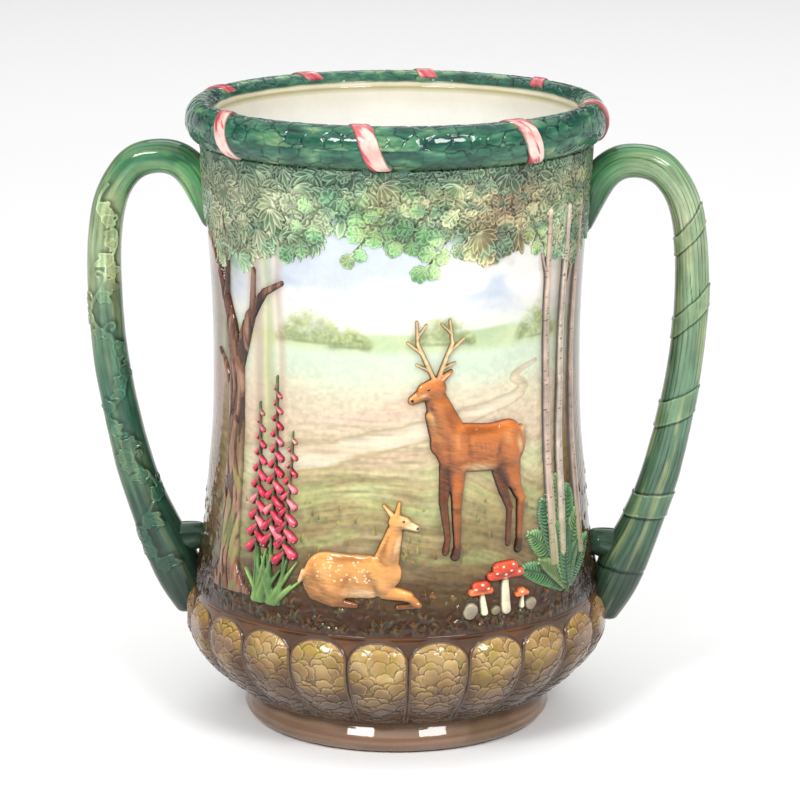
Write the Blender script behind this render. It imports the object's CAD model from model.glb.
import bpy
import math
import numpy as np
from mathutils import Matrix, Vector


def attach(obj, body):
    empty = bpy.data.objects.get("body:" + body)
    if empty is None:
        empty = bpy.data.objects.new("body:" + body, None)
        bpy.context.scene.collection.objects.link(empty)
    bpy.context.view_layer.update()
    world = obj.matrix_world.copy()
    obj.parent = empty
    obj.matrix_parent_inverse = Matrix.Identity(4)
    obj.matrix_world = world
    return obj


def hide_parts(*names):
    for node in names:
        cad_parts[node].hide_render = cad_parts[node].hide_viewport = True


# Looks of a two-handled loving cup: moulded and painted earthenware under a
# clear glossy glaze. The painting and the relief are worked out here in code,
# on flat drawings in millimetres that are wrapped round the cup.

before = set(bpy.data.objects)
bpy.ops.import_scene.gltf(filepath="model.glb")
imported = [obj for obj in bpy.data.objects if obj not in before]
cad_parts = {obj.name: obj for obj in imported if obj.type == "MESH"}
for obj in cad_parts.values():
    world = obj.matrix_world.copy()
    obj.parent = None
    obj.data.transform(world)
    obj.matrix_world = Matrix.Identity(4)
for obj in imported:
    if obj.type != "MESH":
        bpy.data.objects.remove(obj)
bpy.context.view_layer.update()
f4 = np.float32
MM = 0.001
R0 = 65.0                       # radius to which angles are unrolled
PERIOD = 2 * math.pi * R0
PAINT = 0.80                    # how much of its light the painted clay returns


# ------------------------------------------------------------------ numbers
def rgb(r, g, b):
    return np.array([r, g, b], f4) / 255.0


def linear(c):
    c = np.clip(c, 0, 1)
    return np.where(c <= 0.04045, c / 12.92, ((c + 0.055) / 1.055) ** 2.4)


def step(a, b, x):
    t = np.clip((x - a) / (b - a), 0, 1)
    return t * t * (3 - 2 * t)


def mix(a, b, t):
    return a + (b - a) * t


_tables = {}


def vnoise(x, y, seed, nx, ny=97):
    key = (seed, nx, ny)
    if key not in _tables:
        _tables[key] = np.random.default_rng(seed * 7919 + nx).random(
            (ny, nx), dtype=f4)
    t = _tables[key]
    xf, yf = np.floor(x), np.floor(y)
    fx, fy = x - xf, y - yf
    fx, fy = fx * fx * (3 - 2 * fx), fy * fy * (3 - 2 * fy)
    x0 = xf.astype(np.int64) % nx
    y0 = yf.astype(np.int64) % ny
    x1, y1 = (x0 + 1) % nx, (y0 + 1) % ny
    a = t[y0, x0] * (1 - fx) + t[y0, x1] * fx
    b = t[y1, x0] * (1 - fx) + t[y1, x1] * fx
    return a * (1 - fy) + b * fy


def fbm(u, v, cu, cv, seed, octaves=4, period=PERIOD):
    # cloudy numbers round 0.5 with cells of cu by cv mm, seamless in u
    out = np.zeros(np.broadcast(u, v).shape, f4)
    amp, tot = 1.0, 0.0
    n = max(int(round(period / cu)), 2)
    for k in range(octaves):
        out += amp * vnoise(u / period * n + 3.1 * k, v / cv + 5.7 * k,
                            seed + 31 * k, n)
        tot += amp
        amp *= 0.5
        n *= 2
        cv = cv / 2.0
    return out / tot


def ramp(x, stops):
    xs = np.array([s[0] for s in stops], f4)
    cs = np.array([s[1] for s in stops], f4) / 255.0
    return np.stack([np.interp(x, xs, cs[:, k]) for k in range(3)],
                    -1).astype(f4)


def box1(a, r, axis, wrap):
    # running mean of width 2r+1 along one axis
    n = a.shape[axis]
    if wrap:
        pre = np.take(a, range(n - r, n), axis)
        post = np.take(a, range(0, r + 1), axis)
    else:
        pre = np.repeat(np.take(a, [0], axis), r, axis)
        post = np.repeat(np.take(a, [n - 1], axis), r + 1, axis)
    c = np.cumsum(np.concatenate([pre, a, post], axis), axis, dtype=np.float64)
    hi = np.take(c, range(2 * r + 1, 2 * r + 1 + n - 0), axis) \
        if c.shape[axis] >= 2 * r + 1 + n else None
    if hi is None:
        hi = np.take(c, range(2 * r, 2 * r + n), axis)
        lo = np.concatenate([np.zeros_like(np.take(c, [0], axis)),
                             np.take(c, range(0, n - 1), axis)], axis)
        return ((hi - lo) / (2 * r + 1)).astype(f4)
    lo = np.take(c, range(0, n), axis)
    return ((hi - lo) / (2 * r + 1)).astype(f4)


def blur(a, r, wrap=False, times=2):
    for _ in range(times):
        a = box1(box1(a, r, 0, False), r, 1, wrap)
    return a


# ------------------------------------------------------- profiles of the cup
def bspline(pts, n=1500):
    # clamped uniform cubic spline through control points, as n samples
    p = np.array(pts, float)
    k, m = 3, len(p)
    knots = np.r_[[0] * k, np.linspace(0, 1, m - k + 1), [1] * k]
    t = np.linspace(0, 1 - 1e-9, n)
    basis = [((t >= knots[i]) & (t < knots[i + 1])).astype(float)
             for i in range(len(knots) - 1)]
    for d in range(1, k + 1):
        new = []
        for i in range(len(knots) - d - 1):
            a = np.zeros(n)
            if knots[i + d] > knots[i]:
                a += (t - knots[i]) / (knots[i + d] - knots[i]) * basis[i]
            if knots[i + d + 1] > knots[i + 1]:
                a += (knots[i + d + 1] - t) / \
                    (knots[i + d + 1] - knots[i + 1]) * basis[i + 1]
            new.append(a)
        basis = new
    return np.stack(basis[:m], 1) @ p


WALL = bspline([(51.5, 11.0), (55.7, 14.32), (70.03, 23.88), (71.61, 43.11),
                (66.8, 63.36), (65.65, 83.01), (63.27, 103.14),
                (62.88, 122.95), (62.78, 143.17), (63.87, 162.94),
                (65.23, 183.15), (65.63, 196.26), (66.0, 204.5)])
INNER = bspline([(40.0, 17.0), (46.26, 17.0), (65.45, 23.49), (65.08, 47.13),
                 (61.18, 68.88), (59.77, 91.42), (57.72, 113.52),
                 (57.87, 136.1), (58.31, 158.25), (60.11, 180.79),
                 (60.44, 195.49), (61.0, 204.5)])
BAND = bspline([(53.2, 11.0), (56.42, 12.2), (61.44, 16.61), (68.88, 23.35),
                (73.9, 32.49), (73.4, 39.5), (72.1, 44.2), (71.0, 47.0)])


def wall_r(z):
    return np.interp(z, WALL[:, 1], WALL[:, 0])


def inner_r(z):
    return np.interp(z, INNER[:, 1], INNER[:, 0])


def wrap_on(theta, r, z):
    # angle from the front towards +X, radius and height to metres
    return np.stack([r * np.sin(theta), -r * np.cos(theta), z], -1) * MM


# ------------------------------------------------------------------ drawings
class Sheet:
    """A flat drawing in mm: colour C, height H and cover A on a grid."""

    def __init__(self, u0, v0, du, nu, nv, ring=False):
        self.u0, self.v0, self.du, self.ring = u0, v0, du, ring
        self.nu, self.nv = nu, nv
        self.C = np.ones((nv, nu, 3), f4)
        self.H = np.zeros((nv, nu), f4)
        self.A = np.zeros((nv, nu), f4)
        self.u = (u0 + np.arange(nu) * du).astype(f4)
        self.v = (v0 + np.arange(nv) * du).astype(f4)
        self.U, self.V = np.meshgrid(self.u, self.v)

    def near(self, ulo, uhi, vlo, vhi):
        i0 = int(math.floor((ulo - self.u0) / self.du))
        i1 = int(math.ceil((uhi - self.u0) / self.du)) + 1
        j0 = max(int(math.floor((vlo - self.v0) / self.du)), 0)
        j1 = min(int(math.ceil((vhi - self.v0) / self.du)) + 1, self.nv)
        if not self.ring:
            i0, i1 = max(i0, 0), min(i1, self.nu)
        if i1 <= i0 or j1 <= j0:
            return None
        uu = self.u0 + np.arange(i0, i1) * self.du
        vv = self.v0 + np.arange(j0, j1) * self.du
        if self.ring and (i0 < 0 or i1 > self.nu):
            cols = np.arange(i0, i1) % self.nu
        else:
            cols = slice(i0, i1)
        x, y = np.meshgrid(uu.astype(f4), vv.astype(f4))
        return (slice(j0, j1), cols), x, y

    def paint(self, at, alpha, colour):
        c = self.C[at]
        self.C[at] = c + (colour - c) * alpha[..., None]

    def raise_(self, at, alpha, height):
        h = self.H[at]
        self.H[at] = h + (height - h) * alpha

    def dab(self, u, v, ru, rv, ang, colour, a=1.0, soft=0.6, h=0.0):
        rr = max(ru, rv) * 1.02
        w = self.near(u - rr, u + rr, v - rr, v + rr)
        if w is None:
            return
        at, x, y = w
        x, y = x - u, y - v
        c, s = math.cos(ang), math.sin(ang)
        d = np.sqrt(((x * c + y * s) / ru) ** 2 + ((-x * s + y * c) / rv) ** 2)
        m = step(1.0, 1.0 - soft, d)
        if a:
            self.paint(at, m * a, colour)
        if h:
            self.H[at] = self.H[at] + h * m

    def stroke(self, pts, w0, w1, colour, a=1.0, soft=0.5, h=0.0, tip=None):
        # brushed line with a width that runs from w0 to w1 (half widths)
        p = np.array(pts, float)
        wm = max(w0, w1) + self.du
        w = self.near(p[:, 0].min() - wm, p[:, 0].max() + wm,
                      p[:, 1].min() - wm, p[:, 1].max() + wm)
        if w is None:
            return
        at, x, y = w
        n = len(p) - 1
        best = np.full(x.shape, 9.0, f4)
        prog = np.zeros(x.shape, f4)
        for i in range(n):
            d, t = segment(x, y, p[i], p[i + 1])
            tt = (i + t) / n
            q = d / (w0 + (w1 - w0) * tt)
            k = q < best
            best = np.where(k, q, best)
            prog = np.where(k, tt, prog)
        m = step(1.0, 1.0 - soft, best)
        if a:
            col = colour if tip is None else \
                colour + (tip - colour) * prog[..., None]
            self.paint(at, m * a, col)
        if h:
            self.H[at] = np.maximum(self.H[at], self.H[at] * 0.6 + h * m)


def segment(x, y, p, q):
    dx, dy = q[0] - p[0], q[1] - p[1]
    t = np.clip(((x - p[0]) * dx + (y - p[1]) * dy) /
                (dx * dx + dy * dy + 1e-9), 0, 1)
    return np.hypot(x - p[0] - t * dx, y - p[1] - t * dy), t


# -------------------------------------------------------------- mesh making
def make(name, co, faces, uv=None, col=None, mats=(), face_mat=None):
    """co (n,3) in metres; faces (m,4) or (m,3) or a list of both."""
    me = bpy.data.meshes.new(name)
    if isinstance(faces, np.ndarray):
        faces = [faces]
    faces = [f for f in faces if len(f)]
    me.vertices.add(len(co))
    me.vertices.foreach_set("co", np.ascontiguousarray(co, f4).ravel())
    loops = np.concatenate([f.ravel() for f in faces]).astype(np.int32)
    counts = np.concatenate([np.full(len(f), f.shape[1], np.int32)
                             for f in faces])
    starts = np.r_[0, np.cumsum(counts)[:-1]].astype(np.int32)
    me.loops.add(len(loops))
    me.loops.foreach_set("vertex_index", loops)
    me.polygons.add(len(counts))
    me.polygons.foreach_set("loop_start", starts)
    me.polygons.foreach_set("use_smooth", np.ones(len(counts), bool))
    if face_mat is not None:
        me.polygons.foreach_set("material_index",
                                np.asarray(face_mat, np.int32))
    if uv is not None:
        lay = me.uv_layers.new(name="OFBake")
        if callable(uv):
            luv = uv(loops, counts, starts)
        else:
            luv = np.asarray(uv, f4)[loops]
        lay.data.foreach_set("uv", np.ascontiguousarray(luv, f4).ravel())
    if col is not None:
        att = me.color_attributes.new("Col", "FLOAT_COLOR", "POINT")
        c4 = np.ones((len(co), 4), f4)
        c4[:, :3] = linear(col.reshape(-1, 3)) * PAINT
        att.data.foreach_set("color", c4.ravel())
    me.update(calc_edges=True)
    me.validate()
    ob = bpy.data.objects.new(name, me)
    bpy.context.scene.collection.objects.link(ob)
    for m in mats:
        me.materials.append(m)
    return ob


def ring_faces(rows, cols, close=True, flip=False):
    # quads of a grid whose columns run round a ring
    j = np.arange(rows - 1)[:, None]
    i = np.arange(cols if close else cols - 1)[None, :]
    i2 = (i + 1) % cols
    a, b = j * cols + i, j * cols + i2
    c, d = (j + 1) * cols + i2, (j + 1) * cols + i
    q = np.stack([a, b, c, d], -1).reshape(-1, 4)
    return q[:, ::-1] if flip else q


def ring_uv(rows, cols, v_of_row):
    # full-range map of a closed ring grid; the last column ends at 1
    def f(loops, counts, starts):
        i = (loops % cols).astype(f4) / cols
        j = loops // cols
        u = i.copy()
        face_first = np.repeat(np.arange(len(counts)), counts)
        hi = np.zeros(len(counts), f4)
        np.maximum.at(hi, face_first, i)
        wrap = (hi[face_first] > 0.75) & (i < 0.25)
        u[wrap] += 1.0
        return np.stack([u * 0.998 + 0.001, np.asarray(v_of_row, f4)[j]], -1)
    return f


# ------------------------------------------------------------------ materials
def glaze(name, rough=0.30, coat=1.0, coat_rough=0.04, fine=0.0, ripple=0.25,
          speck=0.05, streak=0.0, base=None, pool=0.0):
    """Painted clay under clear glaze: the painted colour is varied by brush
    streaks and specks, the glaze has a slow ripple, and the coat is glossy."""
    m = bpy.data.materials.new(name)
    m.use_nodes = True
    nt = m.node_tree
    n, l = nt.nodes, nt.links
    n.clear()
    out = n.new("ShaderNodeOutputMaterial")
    bs = n.new("ShaderNodeBsdfPrincipled")
    l.new(bs.outputs[0], out.inputs[0])
    bs.inputs["IOR"].default_value = 1.5
    bs.inputs["Coat Weight"].default_value = coat
    bs.inputs["Coat Roughness"].default_value = coat_rough
    bs.inputs["Coat IOR"].default_value = 1.43
    bs.inputs["Specular IOR Level"].default_value = 0.0
    geo = n.new("ShaderNodeTexCoord")
    pos = geo.outputs["Object"]
    if base is None:
        src = n.new("ShaderNodeAttribute")
        src.attribute_name = "Col"
        colour = src.outputs["Color"]
    else:
        src = n.new("ShaderNodeRGB")
        src.outputs[0].default_value = (*[float(x) for x in linear(base)], 1)
        colour = src.outputs[0]

    def noise(scale, detail=4.0, rough_=0.55, vec=None):
        t = n.new("ShaderNodeTexNoise")
        t.inputs["Scale"].default_value = scale
        t.inputs["Detail"].default_value = detail
        t.inputs["Roughness"].default_value = rough_
        l.new(vec or pos, t.inputs["Vector"])
        return t.outputs["Fac"]

    def value_ramp(src_, lo, hi, a, b):
        t = n.new("ShaderNodeMapRange")
        t.inputs["From Min"].default_value = lo
        t.inputs["From Max"].default_value = hi
        t.inputs["To Min"].default_value = a
        t.inputs["To Max"].default_value = b
        l.new(src_, t.inputs["Value"])
        return t.outputs[0]

    def times(c, fac):
        t = n.new("ShaderNodeMix")
        t.data_type = "RGBA"
        t.blend_type = "MULTIPLY"
        t.inputs[0].default_value = 1.0
        l.new(c, t.inputs[6])
        cc = n.new("ShaderNodeCombineColor")
        for k in range(3):
            l.new(fac, cc.inputs[k])
        l.new(cc.outputs[0], t.inputs[7])
        return t.outputs[2]

    if speck:
        f = value_ramp(noise(1500, 3.0), 0.3, 0.7, 1 - speck, 1 + speck * 0.6)
        colour = times(colour, f)
    if streak:
        mp = n.new("ShaderNodeMapping")
        mp.inputs["Scale"].default_value = (1.0, 1.0, 0.22)
        l.new(pos, mp.inputs["Vector"])
        f = value_ramp(noise(900, 3.0, 0.6, mp.outputs[0]), 0.3, 0.7,
                       1 - streak, 1 + streak * 0.5)
        colour = times(colour, f)
    f = value_ramp(noise(120, 3.0), 0.3, 0.7, 0.96, 1.03)
    colour = times(colour, f)
    l.new(colour, bs.inputs["Base Color"])
    l.new(value_ramp(noise(260, 2.0), 0.3, 0.7, rough - 0.06, rough + 0.08),
          bs.inputs["Roughness"])
    # slow ripple of the glaze and, where asked, a fine orange-peel
    bump = n.new("ShaderNodeBump")
    bump.inputs["Distance"].default_value = 0.0004
    bump.inputs["Strength"].default_value = ripple
    l.new(noise(170, 2.0, 0.5), bump.inputs["Height"])
    last = bump.outputs[0]
    if fine:
        b2 = n.new("ShaderNodeBump")
        b2.inputs["Distance"].default_value = 0.0002
        b2.inputs["Strength"].default_value = fine
        l.new(noise(1300, 3.0, 0.6), b2.inputs["Height"])
        l.new(last, b2.inputs["Normal"])
        last = b2.outputs[0]
    l.new(last, bs.inputs["Normal"])
    l.new(last, bs.inputs["Coat Normal"])
    return m


M_WALL = glaze("painted_wall", rough=0.32, ripple=0.22, fine=0.08, speck=0.03,
               streak=0.02)
M_INSIDE = glaze("cream_inside", rough=0.25, ripple=0.15, speck=0.02)
M_RELIEF = glaze("painted_relief", rough=0.30, ripple=0.20, fine=0.08,
                 streak=0.03)
M_ROLL = glaze("leaf_roll", rough=0.26, ripple=0.12, fine=0.06, coat_rough=0.03)
M_RIBBON = glaze("ribbon_pink", rough=0.28, ripple=0.2, speck=0.06)
M_LOBE = glaze("lobe_scales", rough=0.28, ripple=0.22, coat_rough=0.03)
M_FOOT = glaze("foot_brown", rough=0.28, ripple=0.05, coat_rough=0.03)
M_HANDLE = glaze("handle_green", rough=0.27, ripple=0.22, coat_rough=0.03,
                 speck=0.07)


def finish_piece(ob, slot, *nodes):
    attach(ob, "root")
    if nodes:
        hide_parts(*nodes)
    return ob


# ============================================================ the painted wall
RNG = np.random.default_rng(20)
DW = 0.30
NW = int(round(PERIOD / DW))
DW = PERIOD / NW
wall = Sheet(-PERIOD / 4, 45.2, DW, NW, int((203.2 - 45.2) / DW) + 1, ring=True)


def u_of(cam_deg):
    # place along the wall of an angle seen from the camera's azimuth
    return math.radians(cam_deg + 3.5) * R0


def paint_landscape(s):
    U, V = s.U, s.V
    n1 = fbm(U, V, 60, 30, 1)
    n2 = fbm(U, V, 18, 9, 2)
    zz = V + 11 * (n1 - 0.5) + 5 * (n2 - 0.5)
    s.C[:] = ramp(zz, [
        (46, (62, 40, 26)), (54, (76, 52, 34)), (61, (96, 70, 46)),
        (70, (122, 100, 64)), (80, (146, 128, 84)), (90, (166, 150, 102)),
        (99, (188, 172, 126)), (108, (206, 186, 154)), (118, (214, 194, 168)),
        (126, (216, 208, 180)), (130, (210, 217, 190)), (137, (204, 220, 196)),
        (143, (214, 226, 204)), (147.5, (228, 232, 214)),
        (153, (230, 229, 220)), (166, (231, 230, 223)),
        (182, (227, 227, 221)), (203, (212, 217, 208))])
    # airbrushed pools of colour, wide and soft
    pools = [((186, 206, 148), 72, 104, 0.50), ((218, 180, 158), 100, 128, 0.45),
             ((116, 104, 60), 58, 84, 0.45), ((72, 46, 30), 48, 68, 0.50),
             ((196, 208, 150), 84, 112, 0.40), ((170, 132, 100), 60, 96, 0.35),
             ((226, 216, 178), 92, 124, 0.40)]
    for k in range(130):
        col, lo, hi, a = pools[k % len(pools)]
        s.dab(RNG.uniform(-PERIOD / 4, PERIOD * 3 / 4), RNG.uniform(lo, hi),
              RNG.uniform(10, 24), RNG.uniform(3.5, 9),
              RNG.uniform(-0.35, 0.35), rgb(*col), a * RNG.uniform(0.6, 1.0),
              1.0)
    # clouds: pale blue-grey washes with cream left between them
    c1 = fbm(U, V, 42, 17, 11, 4)
    c2 = fbm(U + 9, V - 4, 30, 13, 14, 3)
    sky = step(149, 160, V) * (1 - step(196, 203, V) * 0.3)
    a = step(0.44, 0.60, c1) * sky
    s.C += (rgb(196, 206, 219) - s.C) * (a * 0.80)[..., None]
    a = step(0.56, 0.68, c1) * step(0.45, 0.6, c2) * sky
    s.C += (rgb(176, 187, 205) - s.C) * (a * 0.55)[..., None]
    a = step(0.56, 0.72, c2) * sky * (1 - step(0.5, 0.6, c1))
    s.C += (rgb(246, 244, 236) - s.C) * (a * 0.8)[..., None]
    # far hills in two ranges
    h1 = 149.5 + 6.5 * (fbm(U, 0 * V, 60, 10, 21, 3) - 0.5) * 2
    a = step(0.9, -0.9, V - h1) * step(142, 146, V)
    s.C += (ramp(n2, [(0.3, (186, 204, 192)), (0.7, (212, 221, 202))]) - s.C) \
        * (a * 0.75)[..., None]
    h2 = 145.5 + 4.5 * (fbm(U, 0 * V, 44, 10, 25, 3) - 0.5) * 2
    a = step(0.7, -0.7, V - h2) * step(139, 143, V)
    s.C += (ramp(n2, [(0.3, (172, 194, 142)), (0.7, (202, 214, 160))]) - s.C) \
        * (a * 0.75)[..., None]
    # soft curved strokes that follow the lie of the land
    mound = (fbm(U, V * 0.5, 58, 60, 43, 3) - 0.5) * 46 + \
        2.0 * np.cos(U / 9.3 + 1.0)
    land = step(128, 108, V)
    vm = V - mound * step(132, 92, V)
    st = fbm(U, vm, 30, 4.2, 33, 4)
    a = step(0.54, 0.68, st) * step(136, 122, V) * step(58, 74, V)
    s.C += (rgb(222, 216, 172) - s.C) * (a * 0.26)[..., None]
    st = fbm(U, vm + 31, 24, 5.0, 37, 4)
    a = step(0.54, 0.70, st) * step(112, 94, V)
    s.C += (rgb(104, 92, 54) - s.C) * (a * 0.34)[..., None]
    a = step(0.54, 0.68, fbm(U, vm - 17, 24, 6.0, 41, 4)) * \
        step(116, 100, V) * step(56, 68, V)
    s.C += (rgb(176, 194, 124) - s.C) * (a * 0.40)[..., None]
    n3 = fbm(U, vm, 10, 1.3, 3, 3)
    s.C *= (1 + (n3 - 0.5) * 0.22 * land)[..., None]
    n4 = fbm(U, V, 1.5, 1.1, 5, 2)
    s.C *= (1 + (n4 - 0.5) * 0.16 * step(150, 120, V))[..., None]
    s.H += (n3 - 0.5) * 0.14 * land


def far_trunk(s, cam, w, z0, tone, alpha, lean=0.0):
    # one tall trunk, airbrushed so that it stays far away
    u = u_of(cam)
    r = s.near(u - 3.2 * w - 4, u + 3.2 * w + 4, z0 - 8, 202)
    at, x, y = r
    wob = (fbm(x, y, 40, 26, int(90 + cam) % 800, 2) - 0.5) * w * 0.9
    d = (x - u - lean * (y - z0) - wob) / (w * (1 + 0.9 * step(
        z0 + 16, z0 - 4, y)))
    a = np.exp(-(np.abs(d) ** 3)) * step(z0 - 6, z0 + 7, y) * alpha
    a *= 0.75 + 0.5 * fbm(x, y, 5, 24, 93, 2)
    lit = step(0.1, -0.8, d)
    col = mix(rgb(*tone), np.minimum(rgb(*tone) * 1.28, 1), lit[..., None])
    s.C[at] = mix(s.C[at], col, np.clip(a, 0, 1)[..., None])


def copse(s, u, v, w, h, seed, dark=(134, 148, 104), mid=(172, 184, 124),
          lite=(202, 208, 150)):
    # round-headed far trees, stippled
    r = np.random.default_rng(seed)
    for k in range(int(3 * w)):
        t = r.uniform(-0.9, 0.9)
        s.dab(u + t * w, v + h * (1 - t * t) * r.uniform(0.1, 0.75),
              r.uniform(2.2, 4.2), r.uniform(1.8, 3.2), 0,
              mix(rgb(*dark), rgb(*mid), r.random()), 0.5, 1.0)
    for k in range(int(26 * w)):
        t = r.uniform(-1, 1)
        y = v + h * (1 - t * t) ** 0.7 * r.uniform(0.02, 1.0)
        x = u + t * w
        f = (y - v) / h
        base = rgb(*dark) if r.random() > f + 0.25 else \
            (rgb(*mid) if r.random() > 0.42 else rgb(*lite))
        s.dab(x, y, r.uniform(0.6, 1.7), r.uniform(0.5, 1.2),
              r.uniform(-0.6, 0.6), base, r.uniform(0.2, 0.5), 1.0,
              0.03)
    s.dab(u, v, w * 1.05, 0.9, 0, rgb(120, 132, 84), 0.5, 1.0)


def track(s, pts, seed):
    # a sandy track that winds into the distance
    r = np.random.default_rng(seed)
    p = np.array(pts, float)
    t = np.linspace(0, 1, 90)
    k = np.linspace(0, 1, len(p))
    cu, cv, cw = (np.interp(t, k, p[:, i]) for i in range(3))
    ker = np.ones(13) / 13
    cu, cv, cw = (np.convolve(np.r_[[c[0]] * 6, c, [c[-1]] * 6], ker, "valid")
                  for c in (cu, cv, cw))
    w = s.near(cu.min() - 14, cu.max() + 14, cv.min() - 12, cv.max() + 12)
    at, x, y = w
    best = np.full(x.shape, 9.0, f4)
    for i in range(89):
        j0 = max(np.searchsorted(y[:, 0], min(cv[i], cv[i + 1]) - 1.4 * cw[i]
                                 - 2) - 1, 0)
        j1 = np.searchsorted(y[:, 0], max(cv[i], cv[i + 1]) + 1.4 * cw[i] + 2)
        d, q = segment(x[j0:j1], (y[j0:j1] - cv[i]) * 1.5 + cv[i],
                       (cu[i], cv[i]),
                       (cu[i + 1], (cv[i + 1] - cv[i]) * 1.5 + cv[i]))
        best[j0:j1] = np.minimum(best[j0:j1], d / cw[i])
    best = best + (fbm(x, y, 9, 3, seed, 3) - 0.5) * 0.9
    fade = step(cu.min() - 12, cu.min() + 22, x) if seed % 2 else \
        step(cu.max() + 12, cu.max() - 22, x)
    tone = ramp(fbm(x, y, 22, 1.6, seed + 5, 3),
                [(0.3, (214, 190, 160)), (0.5, (230, 214, 186)),
                 (0.7, (236, 226, 204))])
    edge = np.exp(-((best - 1.0) / 0.22) ** 2) * fade
    s.C[at] = mix(s.C[at], rgb(140, 126, 84), (edge * 0.38)[..., None])
    m = step(1.1, 0.65, best) * fade
    s.C[at] = mix(s.C[at], tone, (m * 0.8)[..., None])
    s.H[at] = s.H[at] - 0.10 * m


def tuft(s, u, v, h, n, seed, cols, rise=0.30, a=0.85):
    r = np.random.default_rng(seed)
    for k in range(n):
        lean = r.uniform(-0.75, 0.75)
        hh = h * r.uniform(0.55, 1.0) * (1 - 0.35 * abs(lean))
        x0 = u + r.uniform(-0.35, 0.35) * h * 0.5
        p = [(x0, v), (x0 + lean * hh * 0.25, v + hh * 0.6),
             (x0 + lean * hh * 0.75, v + hh)]
        c = rgb(*cols[r.integers(len(cols))])
        s.stroke(p, 0.42, 0.16, c * 0.85, a, 0.7, rise,
                 tip=np.clip(c * 1.25, 0, 1))


def ground(s):
    r = np.random.default_rng(5)
    greens = [(96, 112, 58), (132, 134, 66), (150, 128, 74), (74, 104, 62),
              (168, 158, 92), (118, 92, 58), (92, 66, 44)]
    low = [(84, 58, 36), (112, 80, 46), (60, 92, 54), (132, 106, 60),
           (92, 68, 42), (74, 50, 32)]
    order = []
    for k in range(680):
        v = 46.6 + 44 * r.random() ** 2.2
        order.append((v, r.uniform(-PERIOD / 4, PERIOD * 3 / 4)))
    order.sort(reverse=True)
    for i, (v, u) in enumerate(order):
        f = np.clip((v - 51) / 46, 0, 1)
        tuft(s, u, v, r.uniform(2.6, 5.4) * (1 - 0.6 * f),
             int(r.integers(4, 8)), 100 + i, low if v < 62 else greens,
             0.24 * (1 - 0.7 * f), 0.80 - 0.45 * f)
    # small leaves and stones along the foot of the scene
    for k in range(460):
        u = r.uniform(-PERIOD / 4, PERIOD * 3 / 4)
        v = 48 + 13 * r.random() ** 1.3
        c = [(60, 118, 78), (88, 138, 84), (134, 88, 50), (170, 110, 56),
             (46, 92, 62), (150, 140, 80)][r.integers(6)]
        s.dab(u, v, r.uniform(0.7, 1.5), r.uniform(0.4, 0.8),
              r.uniform(-1.2, 1.2), rgb(*c), 0.75, 0.6, 0.18)


paint_landscape(wall)
for cam, v, w, h, sd in ((-27, 143.5, 13, 11, 61), (-14, 142.6, 7, 6.5, 62),
                         (14, 143.6, 11, 9.5, 63), (47, 143, 9, 12, 64),
                         (100, 143.5, 12, 10, 65), (124, 142.6, 7, 7, 66),
                         (170, 143.5, 14, 11, 67), (196, 142.8, 8, 8, 68),
                         (216, 143.0, 9, 10, 69)):
    copse(wall, u_of(cam), v, w, h, sd)
for cam, w_, z0, tone, al, ln in (
        (-72, 5.0, 70, (176, 148, 128), 0.62, 0.0),
        (-63, 3.2, 84, (168, 142, 124), 0.60, 0.01),
        (-47, 4.6, 80, (186, 162, 142), 0.62, 0.0),
        (-41.5, 2.6, 92, (176, 182, 128), 0.55, -0.01),
        (-38, 2.2, 96, (190, 166, 146), 0.50, 0.01),
        (70, 4.4, 74, (172, 146, 126), 0.62, 0.0),
        (79, 3.0, 84, (178, 182, 130), 0.55, 0.0),
        (86, 4.6, 76, (170, 144, 124), 0.6, 0.0),
        (98, 3.0, 90, (186, 160, 140), 0.5, 0.01),
        (137, 4.0, 84, (180, 154, 134), 0.55, 0.0),
        (143, 2.4, 94, (176, 182, 128), 0.5, 0.0),
        (211, 4.2, 82, (178, 152, 132), 0.58, 0.0),
        (236, 4.8, 74, (174, 148, 128), 0.6, 0.0),
        (246, 3.0, 86, (176, 182, 128), 0.5, 0.0),
        (261, 4.4, 76, (172, 146, 126), 0.6, 0.0)):
    far_trunk(wall, cam, w_, z0, tone, al, ln)
track(wall, [(u_of(48), 135, 0.8), (u_of(36), 131, 1.5), (u_of(44), 126, 2.3),
             (u_of(22), 119, 3.6), (u_of(-6), 111, 5.2), (u_of(-30), 104, 6.6),
             (u_of(-58), 98, 8.0)], 71)
track(wall, [(u_of(120), 135, 0.8), (u_of(133), 131, 1.5),
             (u_of(124), 126, 2.3), (u_of(146), 119, 3.6),
             (u_of(172), 111, 5.2), (u_of(196), 104, 6.6),
             (u_of(224), 98, 8.0)], 72)
ground(wall)
# smooth brown shoulder under the scene, and dark glaze under the rim
low_dark = step(66, 52, wall.V + 7 * (fbm(wall.U, wall.V, 16, 8, 79, 3) - 0.5))
wall.C += (rgb(58, 35, 19) - wall.C) * (low_dark * 0.50)[..., None]
sh = step(49.4, 46.4, wall.V + 2.0 * (fbm(wall.U, wall.V, 10, 4, 81) - 0.5))
shc = ramp(wall.V + 2 * (fbm(wall.U, wall.V, 20, 6, 82) - 0.5),
           [(45, (84, 50, 23)), (48, (72, 43, 20)), (51, (58, 35, 18))])
wall.C += (shc - wall.C) * (sh * 0.85)[..., None]
wall.H *= 1 - sh
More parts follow.
